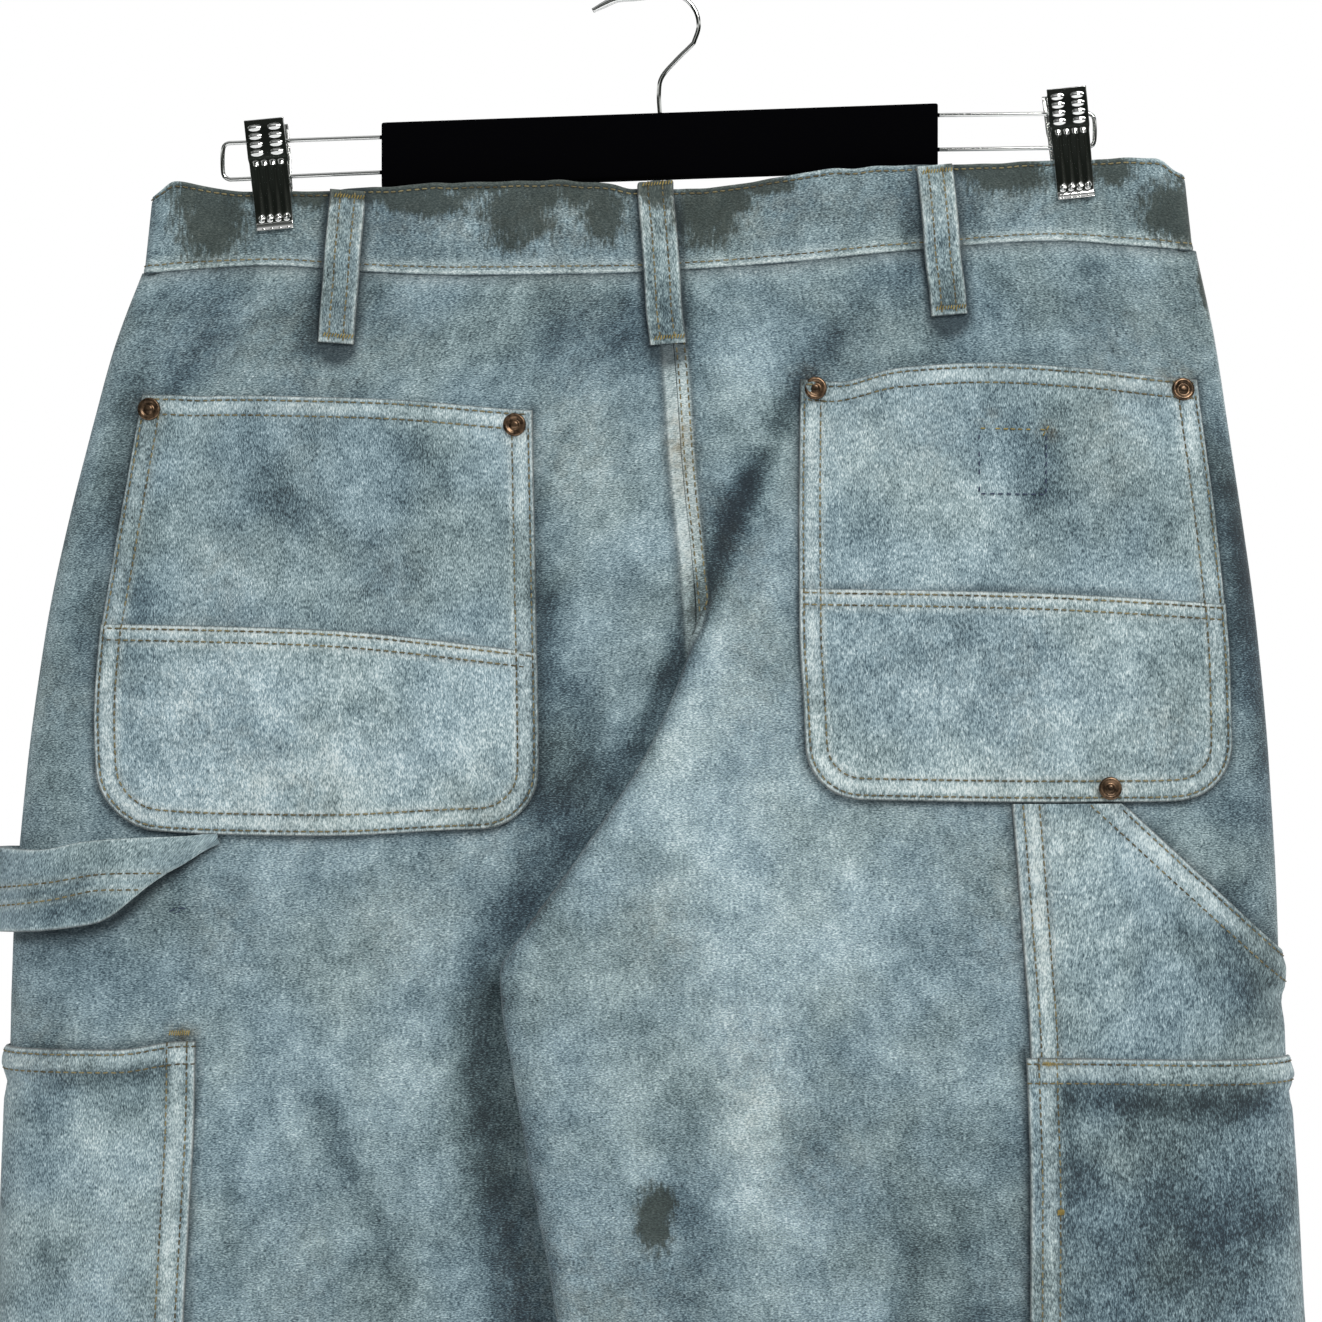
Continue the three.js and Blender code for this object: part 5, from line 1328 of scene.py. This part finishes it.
def belt_loop(name, x0, x1, z0, z1, front=False, over=0.0, width=15.5):
    s = 1 if front else -1
    half_fold = 12 * bell(x0, 80) if front else 0.0
    t = marks(70.0, 1.6, (0, .2, .5, .9, 1.5), (0, .2, .5, .9, 1.5)) / 70
    u = marks(width, 1.3, (0, .15, .4, .8, 1.3, 2.2), (0, .15, .4, .8, 1.3, 2.2)) / width - .5
    z = lerp(z0, z1, t)
    x = lerp(x0, x1, t)
    seam = seam_z(x) - half_fold
    h = R if x0 > 0 else L
    q, zn = side_q(h, x, np.minimum(z, seam - .8), seat=not front)
    pan = displaced(h, q, zn)[0][:, 1]
    y = lerp(pan + s * WALL / 2, band_y(x, z, s) + s * BAND / 2, smooth(seam - 7, seam + 3, z))
    bow = 3.3 * np.sin(np.pi * np.clip((t - .05) / .88, 0, 1)) ** .75
    y = y + s * (.3 + bow)
    ctr = np.stack([x, y, z], -1)
    if over:       # carried over the band's top edge and down inside it
        zt = float(top_z(np.array([x0]))[0])
        yb = float(band_y(np.array([x0]), np.array([zt]), s)[0])
        cap = [[x0, yb + s * -(BAND / 2 + .6), zt - 5], [x0, yb - s * (BAND / 2 + .7), zt - 1],
               [x0, yb - s * 1.0, zt + 1.9], [x0, yb + s * 1.4, zt + 2.1],
               [x0, yb + s * (BAND / 2 + 1.0), zt + .4]]
        keep = ctr[z < zt - 1.8]
        ctr = spline(np.concatenate([cap, keep[::2], keep[-1:]]), len(t) + 8)
        t = np.linspace(0, 1, len(ctr))
    d = np.gradient(ctr, axis=0)
    nrm = unit(np.cross(np.array([1.0, 0, 0]), -d) * s * -1)
    if nrm[len(nrm) // 2, 1] * s < 0:
        nrm = -nrm
    lean = unit(np.array([[1.0, 0, (x1 - x0) / (z0 - z1)]]))
    wobble = .35 * noise(np.linspace(0, 5, len(ctr)), x0, 3)
    p = ctr[None] + (u[:, None, None] * width + wobble[None, :, None]) * lean[None]
    n2 = np.broadcast_to(nrm[None], p.shape)
    du = (u + .5) * width
    de = np.minimum(du, width - du)[:, None]
    tlen = travel(ctr)
    dt = np.minimum(tlen, tlen[-1] - tlen)[None]
    rim = rounded(np.minimum(de, dt + .4), 1.0, .02)
    top = .2 + 1.7 * rim - .32 * bell(de - 4.2, .7) + .25 * bell(de - 7.7, 2.2)
    tack = np.minimum(np.abs(tlen - 2.5 - (6 if over else 0)), np.abs(tlen[-1] - 2.3 - tlen))[None]
    top = top - .5 * bell(tack, 1.4)
    worn = np.maximum(.9 * bell(de, 1.6), .3 * bell(de - 4.2, 1.4)) + .5 * bell(dt, 2)
    cloth = np.stack(np.broadcast_arrays(du[:, None], tlen[None], 0), -1) + abs(x0) * 3
    shade = np.broadcast_to(np.maximum(.8 * smooth(.8, .1, de), sewn(de, 4.2)), top.shape)
    ob = shell(name + "_cloth", p, n2, top, np.zeros(top.shape), LOOPMAT,
               np.broadcast_to(worn, top.shape), cloth, shade)
    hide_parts(name)
    grp = "fly" if front else "seat"
    for k in (4.2, width - 4.2):
        i = int(np.argmin(np.abs(du - k)))
        stitches(grp, (p + n2 * top[..., None])[i, 2:-2], n2[i, 2:-2], pitch=3.0, length=2.5)
    for at in (2.4 + (8.5 if over else 0), tlen[-1] - 2.4):
        j = int(np.argmin(np.abs(tlen - at)))
        c = (p + n2 * (top[..., None] + .1))[len(u) // 2, j]
        bar_tack("tack", c, lean[0], nrm[j], width - 3.5, 1.7, 11)


# ---- hammer loop


def hammer_loop():
    top_edge, low_edge = HAMMER_TOP, HAMMER_LOW
    rows = marks(38.0, 2.0, (0, .15, .4, .8, 1.4, 2.2), (0, .15, .4, .8, 1.4, 2.2)) / 38
    P, N = [], []
    for q in np.linspace(7.14, 7.75, 26):
        z = lerp(-366.0, -402.0, rows)
        t = (q - 7.14) / .9
        off = LIFT + 10 * math.sin(math.pi * t / 2)
        pp, nn = displaced(L, np.full(len(rows), q), z)
        P.append(pp + nn * off)
        N.append(nn)
    for x in np.linspace(-265, -189.5, 46):
        z = lerp(top_edge(x), low_edge(x), rows)
        q, zn = side_q(L, np.full(len(rows), x), z)
        pp, nn = displaced(L, q, zn)
        off = (LIFT + 10 * smooth(-196, -232, x) + 3.5 * smooth(-200, -226, x) * rows
               + 1.2 * smooth(-265, -240, x) * np.sin(rows * 3.1))
        P.append(pp + nn * off[:, None])
        N.append(nn)
    P, N = np.array(P), np.array(N)
    for _ in range(4):
        P[1:-1] = (P[:-2] + 2 * P[1:-1] + P[2:]) / 4
    du, dv = np.gradient(P, axis=0), np.gradient(P, axis=1)
    nrm = unit(np.cross(du, dv))
    nrm *= np.sign((nrm * N).sum(-1, keepdims=True))
    d = np.minimum(rows, 1 - rows) * 38
    t = .15 + 2.0 * rounded(d, 1.2)
    gaps = [P[..., 2] - line(P[..., 0]) for line in HAMMER_ROWS]
    t = (t - sum(.34 * bell(g, .8) for g in gaps)
         + .14 * np.sin(P[..., 0] / 1.5) * sum(bell(g - 1, 2.5) for g in gaps))
    worn = .7 * bell(d, 1.4) + sum(.55 * bell(g, 2.2) for g in gaps)
    shade = np.maximum(.8 * smooth(.8, .1, d), sum(sewn(g, 0) for g in gaps))
    ob = shell("hammer_loop_cloth", P, nrm, t, 0.0, POCKET, worn, None, shade)
    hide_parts("hammer_loop")
    top = P + nrm * t[..., None]
    for g in gaps:
        at, up = [], []
        for i in range(1, len(P) - 1):
            if g[i].min() < -1.0:
                j = int(np.argmax(g[i] < 0))
                f = g[i, j - 1] / (g[i, j - 1] - g[i, j])
                at.append(lerp(top[i, j - 1], top[i, j], f))
                up.append(nrm[i, j])
        stitches("seat", at, up)


# ---- hidden side: facings and fly


def facing(name, h):
    s = slant(h)
    end, lap = (OUT_R + .42, .25) if h is R else (OUT_L - .2, -.25)
    rows = np.linspace(-113.5, -226, 40)
    u = np.linspace(0, 1, 26)
    q = lerp(s(rows)[None] + lap, end, u[:, None])
    z = np.broadcast_to(rows, q.shape)
    p, n = displaced(h, q, z)
    ob = shell(name + "_cloth", p, n, -WALL / 2 - .9, -WALL / 2 - 2.1, POCKET)
    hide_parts(name)


def fly_parts():
    zs = np.linspace(-136, -232, 30)
    xs = np.linspace(-24, 14, 14)
    X, Z = np.meshgrid(xs, zs, indexing="ij")
    p = np.zeros(X.shape + (3,))
    for h, mask in ((L, X <= 3), (R, X > 3)):
        q, n = side_q(h, X[mask], Z[mask], seat=False)
        p[mask] = displaced(h, q, n)[0]
    n = np.zeros(p.shape)
    n[..., 1] = 1
    ob = shell("fly_shield_cloth", p, n, -WALL / 2 - 1.6, -WALL / 2 - 3.4, POCKET)
    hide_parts("fly_shield")


def fly_stitching():
    """The curved double line of the fly, the slant pocket openings and the outseams on the hidden side."""
    a = np.linspace(0, 1, 60)
    for off in (36.0, 30.0):
        x = np.where(a < .72, -off, -off + (off + 4) * (smooth(.72, 1, a)))
        z = np.where(a < .72, lerp(-134, -222, a / .72), -222 - 24 * np.sin((a - .72) / .28 * math.pi / 2))
        q, n = side_q(L, x, z, seat=False)
        p, nn = displaced(L, q, n)
        stitches("fly", p + nn * (WALL / 2 + .05), nn)
    x, z = np.full(40, -2.2), np.linspace(-134, -232, 40)
    q, n = side_q(L, x, z, seat=False)
    p, nn = displaced(L, q, n)
    stitches("fly", p + nn * (WALL / 2 + .05), nn)
    for h, sgn in ((R, 1), (L, -1)):
        rows = np.linspace(-117, -250, 60)
        for d in (2.0, 8.0):
            q = slant(h)(rows)
            p0, p1 = skin(h, q, rows), skin(h, q + sgn * .05, rows)
            step = .05 / np.linalg.norm(p1 - p0, axis=-1)
            p, nn = displaced(h, q + sgn * step * d, rows)
            stitches("fly", p + nn * (WALL / 2 + .05), nn)
        rows = np.linspace(-262, -668, 150)
        end, s2 = (OUT_R, 1) if h is R else (OUT_L, -1)
        for d in (2.0, 8.0):
            q = np.full(len(rows), end)
            p0, p1 = skin(h, q, rows), skin(h, q + s2 * .03, rows)
            step = .03 / np.linalg.norm(p1 - p0, axis=-1)
            p, nn = displaced(h, q + s2 * step * d, rows)
            stitches("fly", p + nn * (WALL / 2 + .02), nn)


# ---- metal


def lathe(name, profile, at, axis, material, segs=40, spin=0.0):
    prof = np.array(profile, float)
    a = np.linspace(0, 2 * math.pi, segs, endpoint=False) + spin
    v = [(0, 0, prof[0, 1])]
    for r, h in prof[1:-1]:
        v += [(r * math.cos(t), r * math.sin(t), h) for t in a]
    v.append((0, 0, prof[-1, 1]))
    f, n = [], len(prof) - 2
    for k in range(segs):
        j = (k + 1) % segs
        f.append((0, 1 + j, 1 + k))
        for i in range(n - 1):
            f.append((1 + i * segs + k, 1 + i * segs + j, 1 + (i + 1) * segs + j, 1 + (i + 1) * segs + k))
        f.append((1 + n * segs, 1 + (n - 1) * segs + k, 1 + (n - 1) * segs + j))
    q = Vector((0, 0, 1)).rotation_difference(Vector(axis))
    v = np.array([q @ Vector(p) for p in v]) + np.array(at)
    return mesh_from(name, v, f, material)


def rivets():
    spots = [("rivet_1", -219.5, -179, 0, L), ("rivet_2", -64, -185.7, 0, L), ("rivet_3", 64, -170, 0, R),
             ("rivet_4", 220.5, -170.4, 0, R), ("rivet_5", 188, -340, 1.4, R)]
    r = 4.9
    prof = [(0, -.9), (r * .9, -.9), (r, -.5), (r, .35), (r * .96, .75), (r * .86, .98), (r * .72, .95),
            (r * .62, .6), (r * .52, .38), (r * .43, .4), (r * .38, .62), (r * .32, 1.05),
            (r * .22, 1.28), (r * .1, 1.34), (0, 1.35)]
    for name, x, z, up, h in spots:
        p, n = on_seat(h, np.array([[x, z]]), np.array([LIFT + PW + .9 + up]))
        tip = n[0] + rng.normal(0, .04, 3)
        ob = lathe(name + "_copper", prof, p[0], tip, COPPER)
        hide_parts(name)


def button():
    prof = [(0, 0), (3.4, 0), (3.4, .8), (8.0, 1.2), (8.5, 1.8), (8.5, 2.6), (8.1, 3.2), (7.2, 3.35),
            (6.6, 3.0), (5.9, 2.85), (3, 3.0), (0, 3.1)]
    ob = lathe("waist_button_copper", prof, (5, 15.5, -113), (0, 1, 0), COPPER, 56)
    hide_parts("waist_button")


def tube(name, pts, radius, material, n=120, ring=12, end=None):
    c = spline(pts, n)
    t = unit(np.gradient(c, axis=0))
    ref = np.array([0.0, 1, 0])
    a = unit(ref - t * (t @ ref)[:, None])
    b = np.cross(t, a)
    ang = np.linspace(0, 2 * math.pi, ring, endpoint=False)
    rad = np.full(n, radius)
    if end:
        s = np.arange(n)[::-1] / (n / 14)
        rad = rad + end * np.exp(-((s - 1.1) ** 2) * 1.6)
    v = (c[:, None] + (a[:, None] * np.cos(ang)[None, :, None] + b[:, None] * np.sin(ang)[None, :, None])
         * rad[:, None, None])
    f = [(i * ring + k, i * ring + (k + 1) % ring, (i + 1) * ring + (k + 1) % ring, (i + 1) * ring + k)
         for i in range(n - 1) for k in range(ring)]
    f += [tuple(range(ring))[::-1], tuple((n - 1) * ring + k for k in range(ring))]
    return mesh_from(name, v.reshape(-1, 3), f, material)


def bar_top(x):
    return lerp(-55, -46.7, (x + 121.5) / 238.5)


def hanger():
    pts = [(-2.2, 0, bar_top(-2.2) + .1), (-2.6, 0, -42), (-1.3, 0, -35), (5, 0, -27.5), (11.6, 0, -21)]
    for a in (-30, -5, 20, 45, 70, 95, 115):
        t = math.radians(a)
        pts.append((1.1 + 13.4 * math.cos(t), 0, -12.4 + 13.4 * math.sin(t)))
    pts += [(-13, 0, -1.3), (-21, 0, -1.7), (-26.5, 0, -4), (-31, 0, -6.4)]
    ob = tube("hanger_hook_wire", pts, .95, CHROME, 200, 14, end=.55)
    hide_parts("hanger_hook")
    for name, x0, a0, b0, x1, a1, b1 in (("hanger_wire_left", -121.8, -60.8, -75.9, -190, -63.2, -78.9),
                                         ("hanger_wire_right", 117.3, -51.3, -66.1, 184.6, -50.5, -65.2)):
        s, r = math.copysign(1, x1), 3
        m = (x0 + x1) / 2
        pts = [(x0, 0, a0), (m, 0, (a0 + a1) / 2), (x1 - s * 2 * r, 0, a1), (x1 - s * .6 * r, 0, a1 - .4),
               (x1, 0, a1 - r), (x1, 0, b1 + r), (x1 - s * .6 * r, 0, b1 + .4), (x1 - s * 2 * r, 0, b1),
               (m, 0, (b0 + b1) / 2), (x0, 0, b0)]
        ob = tube(name + "_wire", pts, .9, CHROME, 150, 12)
        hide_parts(name)
    bar = box_piece("hanger_bar_flocked")
    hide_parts("hanger_bar")


def box_piece(name):
    """The flocked bar: a tilted block with softly rounded edges."""
    x0, x1, hh, yy, r = -121.5, 117.0, 28.0, 5.0, 1.6
    prof = []
    for cx, cz, a0 in ((yy - r, -r, 0), (-(yy - r), -r, 90), (-(yy - r), -hh + r, 180),
                       (yy - r, -hh + r, 270)):
        for a in np.radians(np.linspace(a0, a0 + 90, 6)):
            prof.append((cx + r * math.cos(a), cz + r * math.sin(a)))
    prof = np.array(prof)
    ctr = np.array([0, -hh / 2])
    xs = [x0, x0 + .3, x0 + .9] + list(np.linspace(x0 + 2, x1 - 2, 30)) + [x1 - .9, x1 - .3, x1]
    sc = [.86, .95, .99] + [1] * 30 + [.99, .95, .86]
    v, f, n = [], [], len(prof)
    for x, s in zip(xs, sc):
        for y, z in prof:
            k = 1 - (1 - s) * .6
            v.append((x, ctr[0] + (y - ctr[0]) * k, bar_top(x) + ctr[1]
                      + (z - ctr[1]) * (1 - (1 - s) * .25)))
    for i in range(len(xs) - 1):
        for j in range(n):
            f.append((i * n + j, i * n + (j + 1) % n, (i + 1) * n + (j + 1) % n, (i + 1) * n + j))
    f += [tuple(range(n)), tuple((len(xs) - 1) * n + j for j in range(n))[::-1]]
    return mesh_from(name, v, [q[::-1] for q in f], FLOCK)


def clip_plate(name, x, z_top, lean, s):
    """One jaw: pressed finger tab with rows of bumps, a waist, and a ribbed grip with a rolled lip."""
    width, length = 17.0, 47.0
    t = np.linspace(0, 1, 150)
    prof = through([[0, 9.4], [.08, 9.1], [.26, 8.1], [.40, 7.1], [.70, 5.2], [.93, 4.5], [.97, 5.0],
                    [1, 6.1]])
    u = np.linspace(-.5, .5, 56)
    U, T = np.meshgrid(u, t, indexing="ij")
    z = -T * length
    y = prof(T)
    X = U * width * np.where(T < .34, 1, lerp(1, .96, smooth(.34, .4, T)))
    emb = np.zeros(U.shape)
    for r in range(4):
        for cx in (-.25, .25):
            d = np.hypot((U - cx) * width / 3.1, (T * length - 3.6 - r * 3.5) / 1.2)
            emb += .85 * np.clip(1 - d * d, 0, 1) ** 1.5
    for cx in (-.33, -.11, .11, .33):
        span = smooth(18.5, 20, T * length) * smooth(43.5, 42.2, T * length)
        emb += .85 * bell((U - cx) * width, 1.05) * span
        for stop, tall in ((42.4, .75), (18.8, .45)):
            emb += tall * bell(np.hypot((U - cx) * width, T * length - stop), 1.0)
    waist = -.12 * bell(T * length - 17.0, .9)
    rim = rounded((.5 - np.abs(U)) * width, .8)
    out = y + .55 + emb + waist
    inn = y - .05
    flange = 2.6 * smooth(.46, .5, np.abs(U)) * smooth(.02, .06, T) * smooth(.62, .5, T)
    out2, inn2 = out - .6 * (1 - rim), inn - flange
    v0 = np.stack([X, s * out2, z], -1)
    v1 = np.stack([X * .985, s * inn2, z], -1)
    v = np.concatenate([v0.reshape(-1, 3), v1.reshape(-1, 3)])
    a = math.radians(lean)
    rot = np.array([[math.cos(a), 0, math.sin(a)], [0, 1, 0], [-math.sin(a), 0, math.cos(a)]])
    v = v @ rot.T + np.array([x, 0, z_top])
    faces = grid_faces(*U.shape)
    ff = v[faces]
    vol = np.einsum("ij,ij->i", ff[:, 0], np.cross(ff[:, 1], ff[:, 2])).sum()
    if vol < 0:
        faces = faces[:, ::-1]
    ob = mesh_from(name + "_chrome", v, faces, CHROME)
    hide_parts(name)


def clips():
    for side, x, z, lean in (("left", -171.5, -54.4, -5.5), ("right", 171.5, -41, -6)):
        clip_plate(f"clip_{side}_back", x, z, lean, -1)
        clip_plate(f"clip_{side}_front", x, z, lean, 1)
        k = math.tan(math.radians(-lean))
        cx, cz = x - 16.4 * k, z - 16.4
        ob = tube(f"clip_{side}_spring_pin", [(cx, -6.4, cz), (cx, 0, cz), (cx, 6.4, cz)], 1.5, CHROME,
                  12, 14)
        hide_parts(f"clip_{side}_spring")
        # the coil that shows beside the tab, wound on the pin
        turns = []
        for i in range(90):
            a = i / 90 * 5 * 2 * math.pi
            turns.append((cx + 2.6 * math.cos(a), lerp(-4.6, 4.6, i / 89), cz + 2.6 * math.sin(a)))
        coil = tube(f"clip_{side}_coil", turns, .55, CHROME, 360, 8)


# ---- small marks


def marks_on_cloth():
    """Old label stitching on the right pocket, tacks at pocket corners, and a pulled thread on the leg."""
    def run(pts, grp, lift, h, **kw):
        pts = np.array(pts, float)
        rim = outline(POCKET_R, POCKET_R["top"])
        p, n = on_seat(h, pts, pocket_lift(POCKET_R, pts[:, 0], pts[:, 1], rim, .38) if lift is None
                       else np.full(len(pts), lift))
        stitches(grp, p, n, **kw)
    a = (133, -189.5)
    box = [((a[0], a[1]), (a[0], -215.5)), ((a[0], -215.5), (161.5, -215.5)),
           ((161.5, -215.5), (161.5, -190))]
    for p0, p1 in box:
        run([lerp(np.array(p0), np.array(p1), t) for t in np.linspace(0, 1, 12)], "navy", None, R,
            pitch=3.4, length=2.4, dia=.85, skip=.1)
    run([(x, -187.6 - .02 * (x - 133)) for x in np.linspace(133, 162, 12)], "tack", None, R, pitch=3.0,
        length=2.3, dia=.75, skip=.2)
    run([(160, -191), (163, -186)], "tack", None, R, pitch=2.0, length=2.4, dia=.7)
    run([(-211, -392.5), (-207, -390.8), (-203, -391.0)], "navy", .78, L, pitch=3.4, length=3.4, dia=.7)
    run([(-209, -393.5), (-205, -391.5)], "navy", .78, L, pitch=3, length=3.6, dia=.5)


def corner_tack(h, x, z, lift, width):
    p, n = on_seat(h, np.array([[x, z]]), np.array([lift]))
    across = np.array([1.0, 0, 0])
    bar_tack("tack", p[0], unit(across - n[0] * (n[0] @ across)), n[0], width, 2.2, 10)


# ---- build
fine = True
make_panels(fine)
waistband(fine)
for args in (("belt_loop_back_left", -135.5, -140.5, -84.6, -150.5),
             ("belt_loop_back_centre", -4, 1, -85.5, -151),
             ("belt_loop_back_right", 115, 121, -74.4, -138.5)):
    belt_loop(*args, over=1.0 if "centre" in args[0] else 0.0)
belt_loop("belt_loop_front_left", -104, -106, -83, -152, True)
belt_loop("belt_loop_front_right", 96, 98, -75, -144, True)
seat_pocket("back_pocket_left", POCKET_L, fine)
seat_pocket("back_pocket_right", POCKET_R, fine)
pocket_half("back_pocket_left_reinforcement", POCKET_L, fine)
pocket_half("back_pocket_right_reinforcement", POCKET_R, fine)
hammer_loop()
leg_pocket("side_pocket_left", L, through([[447, -199], [480, -199.5], [530, -202], [570, -204],
                                           [650, -206]]), OUT_L + .06, lambda x: -450.5
           + 3.5 * smooth(-232, -204, x), -648.0, 108.0, 200.0, LIFT, fine, s_in=(3.6, 12),
           s_top=(2.2, 9.6))
leg_pocket("tool_pocket_upper_right", R,
           through([[347, 146.5], [400, 150.5], [450, 154], [560, 155.5], [655, 153]]), OUT_R - .06,
           lambda x: -346.5 - .92 * np.maximum(0, x - 194 + .6 * np.exp(-np.abs(x - 194))), -650.0, 122.0,
           285.0, LIFT, fine, s_in=(4.6, 11.5), s_top=(2.4, 10.2), sag=.8, slope=lambda x,
           z: (-.92 * (x - 194) - (z + 346.5)) / 1.359)
leg_pocket("tool_pocket_lower_right", R, through([[450, 152], [510, 153.5], [560, 153.5], [655, 151]]),
           OUT_R - .06, lambda x: -453.5 - 1.5 * smooth(160, 250, x), -652.0, 124.0, 198.0, LIFT + PW
           + .3, fine, s_in=(5.0, 12.5), s_top=(2.4, 10.5), sag=1.0)
facing("front_pocket_facing_right", R)
facing("front_pocket_facing_left", L)
fly_parts()
fly_stitching()
for off in (-3.4, .0, 3.4):     # three rows down the seat seam
    zz = np.linspace(-116, -264, 78)
    pts, nn = seam_line(off + 1.2 if off >= 0 else -1.6, WALL / 2 + (1.1 if off >= 0 else .1), zz)
    stitches("seat", pts, nn)
marks_on_cloth()
corner_tack(L, -206, -443.5, LIFT + PW + .5, 8)
corner_tack(R, 162, -456, LIFT + 2 * PW + .9, 7)
corner_tack(R, 166, -518, LIFT + 2 * PW + .9, 2.5)
thread_objects()
rivets()
button()
hanger()
clips()

# ---- stage, light, camera
scene = bpy.context.scene
bpy.ops.mesh.primitive_circle_add(vertices=96, radius=1.9, fill_type="NGON", location=(0, 0, -1.0))
floor = bpy.context.object
floor.name = "floor"
fm = plain_material("floor", (.92, .92, .92), .9)
floor.data.materials.append(fm)

world = bpy.data.worlds.new("studio")
scene.world = world
world.use_nodes = True
wt = world.node_tree
wt.nodes.clear()
k = Nodes(wt)
out = k.new("ShaderNodeOutputWorld")
mixs = k.new("ShaderNodeMixShader")
white, soft = k.new("ShaderNodeBackground"), k.new("ShaderNodeBackground")
white.inputs["Color"].default_value = (1, 1, 1, 1)
white.inputs["Strength"].default_value = 1.0
geo = k.new("ShaderNodeTexCoord")
sep = k.new("ShaderNodeSeparateXYZ")
k.link(geo.outputs["Generated"], sep.inputs[0])
up = k.ramp(k.math("MULTIPLY_ADD", sep.outputs["Z"], .5, .5),
            [(.0, (.30, .30, .31)), (.42, (.36, .37, .38)), (.50, (.22, .22, .23)),
             (.62, (.75, .76, .78)), (1, (1, 1, 1))])
k.link(up, soft.inputs["Color"])
soft.inputs["Strength"].default_value = 0.62
lp = k.new("ShaderNodeLightPath")
k.link(lp.outputs["Is Camera Ray"], mixs.inputs[0])
glint, pick = k.new("ShaderNodeBackground"), k.new("ShaderNodeMixShader")
bands = k.ramp(k.math("MULTIPLY_ADD", sep.outputs["Z"], .5, .5),
               [(.0, (.12, .12, .12)), (.28, (.035, .04, .035)), (.47, (.008, .010, .008)),
                (.575, (.03, .033, .028)), (.615, (.85, .86, .84)), (.655, (.02, .022, .02)),
                (.86, (.10, .105, .10)), (1, (.7, .7, .7))])
k.link(bands, glint.inputs["Color"])
k.link(lp.outputs["Is Glossy Ray"], pick.inputs[0])
k.link(soft.outputs[0], pick.inputs[1])
k.link(glint.outputs[0], pick.inputs[2])
k.link(pick.outputs[0], mixs.inputs[1])
k.link(white.outputs[0], mixs.inputs[2])
k.link(mixs.outputs[0], out.inputs["Surface"])


def area(name, loc, target, size, power, color=(1, 1, 1)):
    data = bpy.data.lights.new(name, "AREA")
    data.shape, data.size, data.energy, data.color = "SQUARE", size, power, color
    ob = bpy.data.objects.new(name, data)
    ob.location = loc
    ob.rotation_euler = (Vector(target) - Vector(loc)).to_track_quat("-Z", "Y").to_euler()
    scene.collection.objects.link(ob)
    return ob


area("key", (.75, -1.5, .95), (0, 0, -.35), .8, 27, (1, .99, .97))
area("fill", (-1.1, -1.6, .1), (0, 0, -.4), 1.3, 9, (.95, .98, 1)).visible_glossy = False
area("rear", (1.0, 1.4, .95), (0, 0, -.35), .8, 27).visible_glossy = False

cam_data = bpy.data.cameras.new("camera")
cam_data.sensor_width = 36
cam_data.lens = 95.0
cam = bpy.data.objects.new("camera", cam_data)
cam.location = (-.0017, -1.5, -.286)
cam.rotation_euler = (math.radians(90), 0, 0)
scene.collection.objects.link(cam)
scene.camera = cam
scene.view_settings.view_transform = "Standard"
scene.view_settings.look = "None"
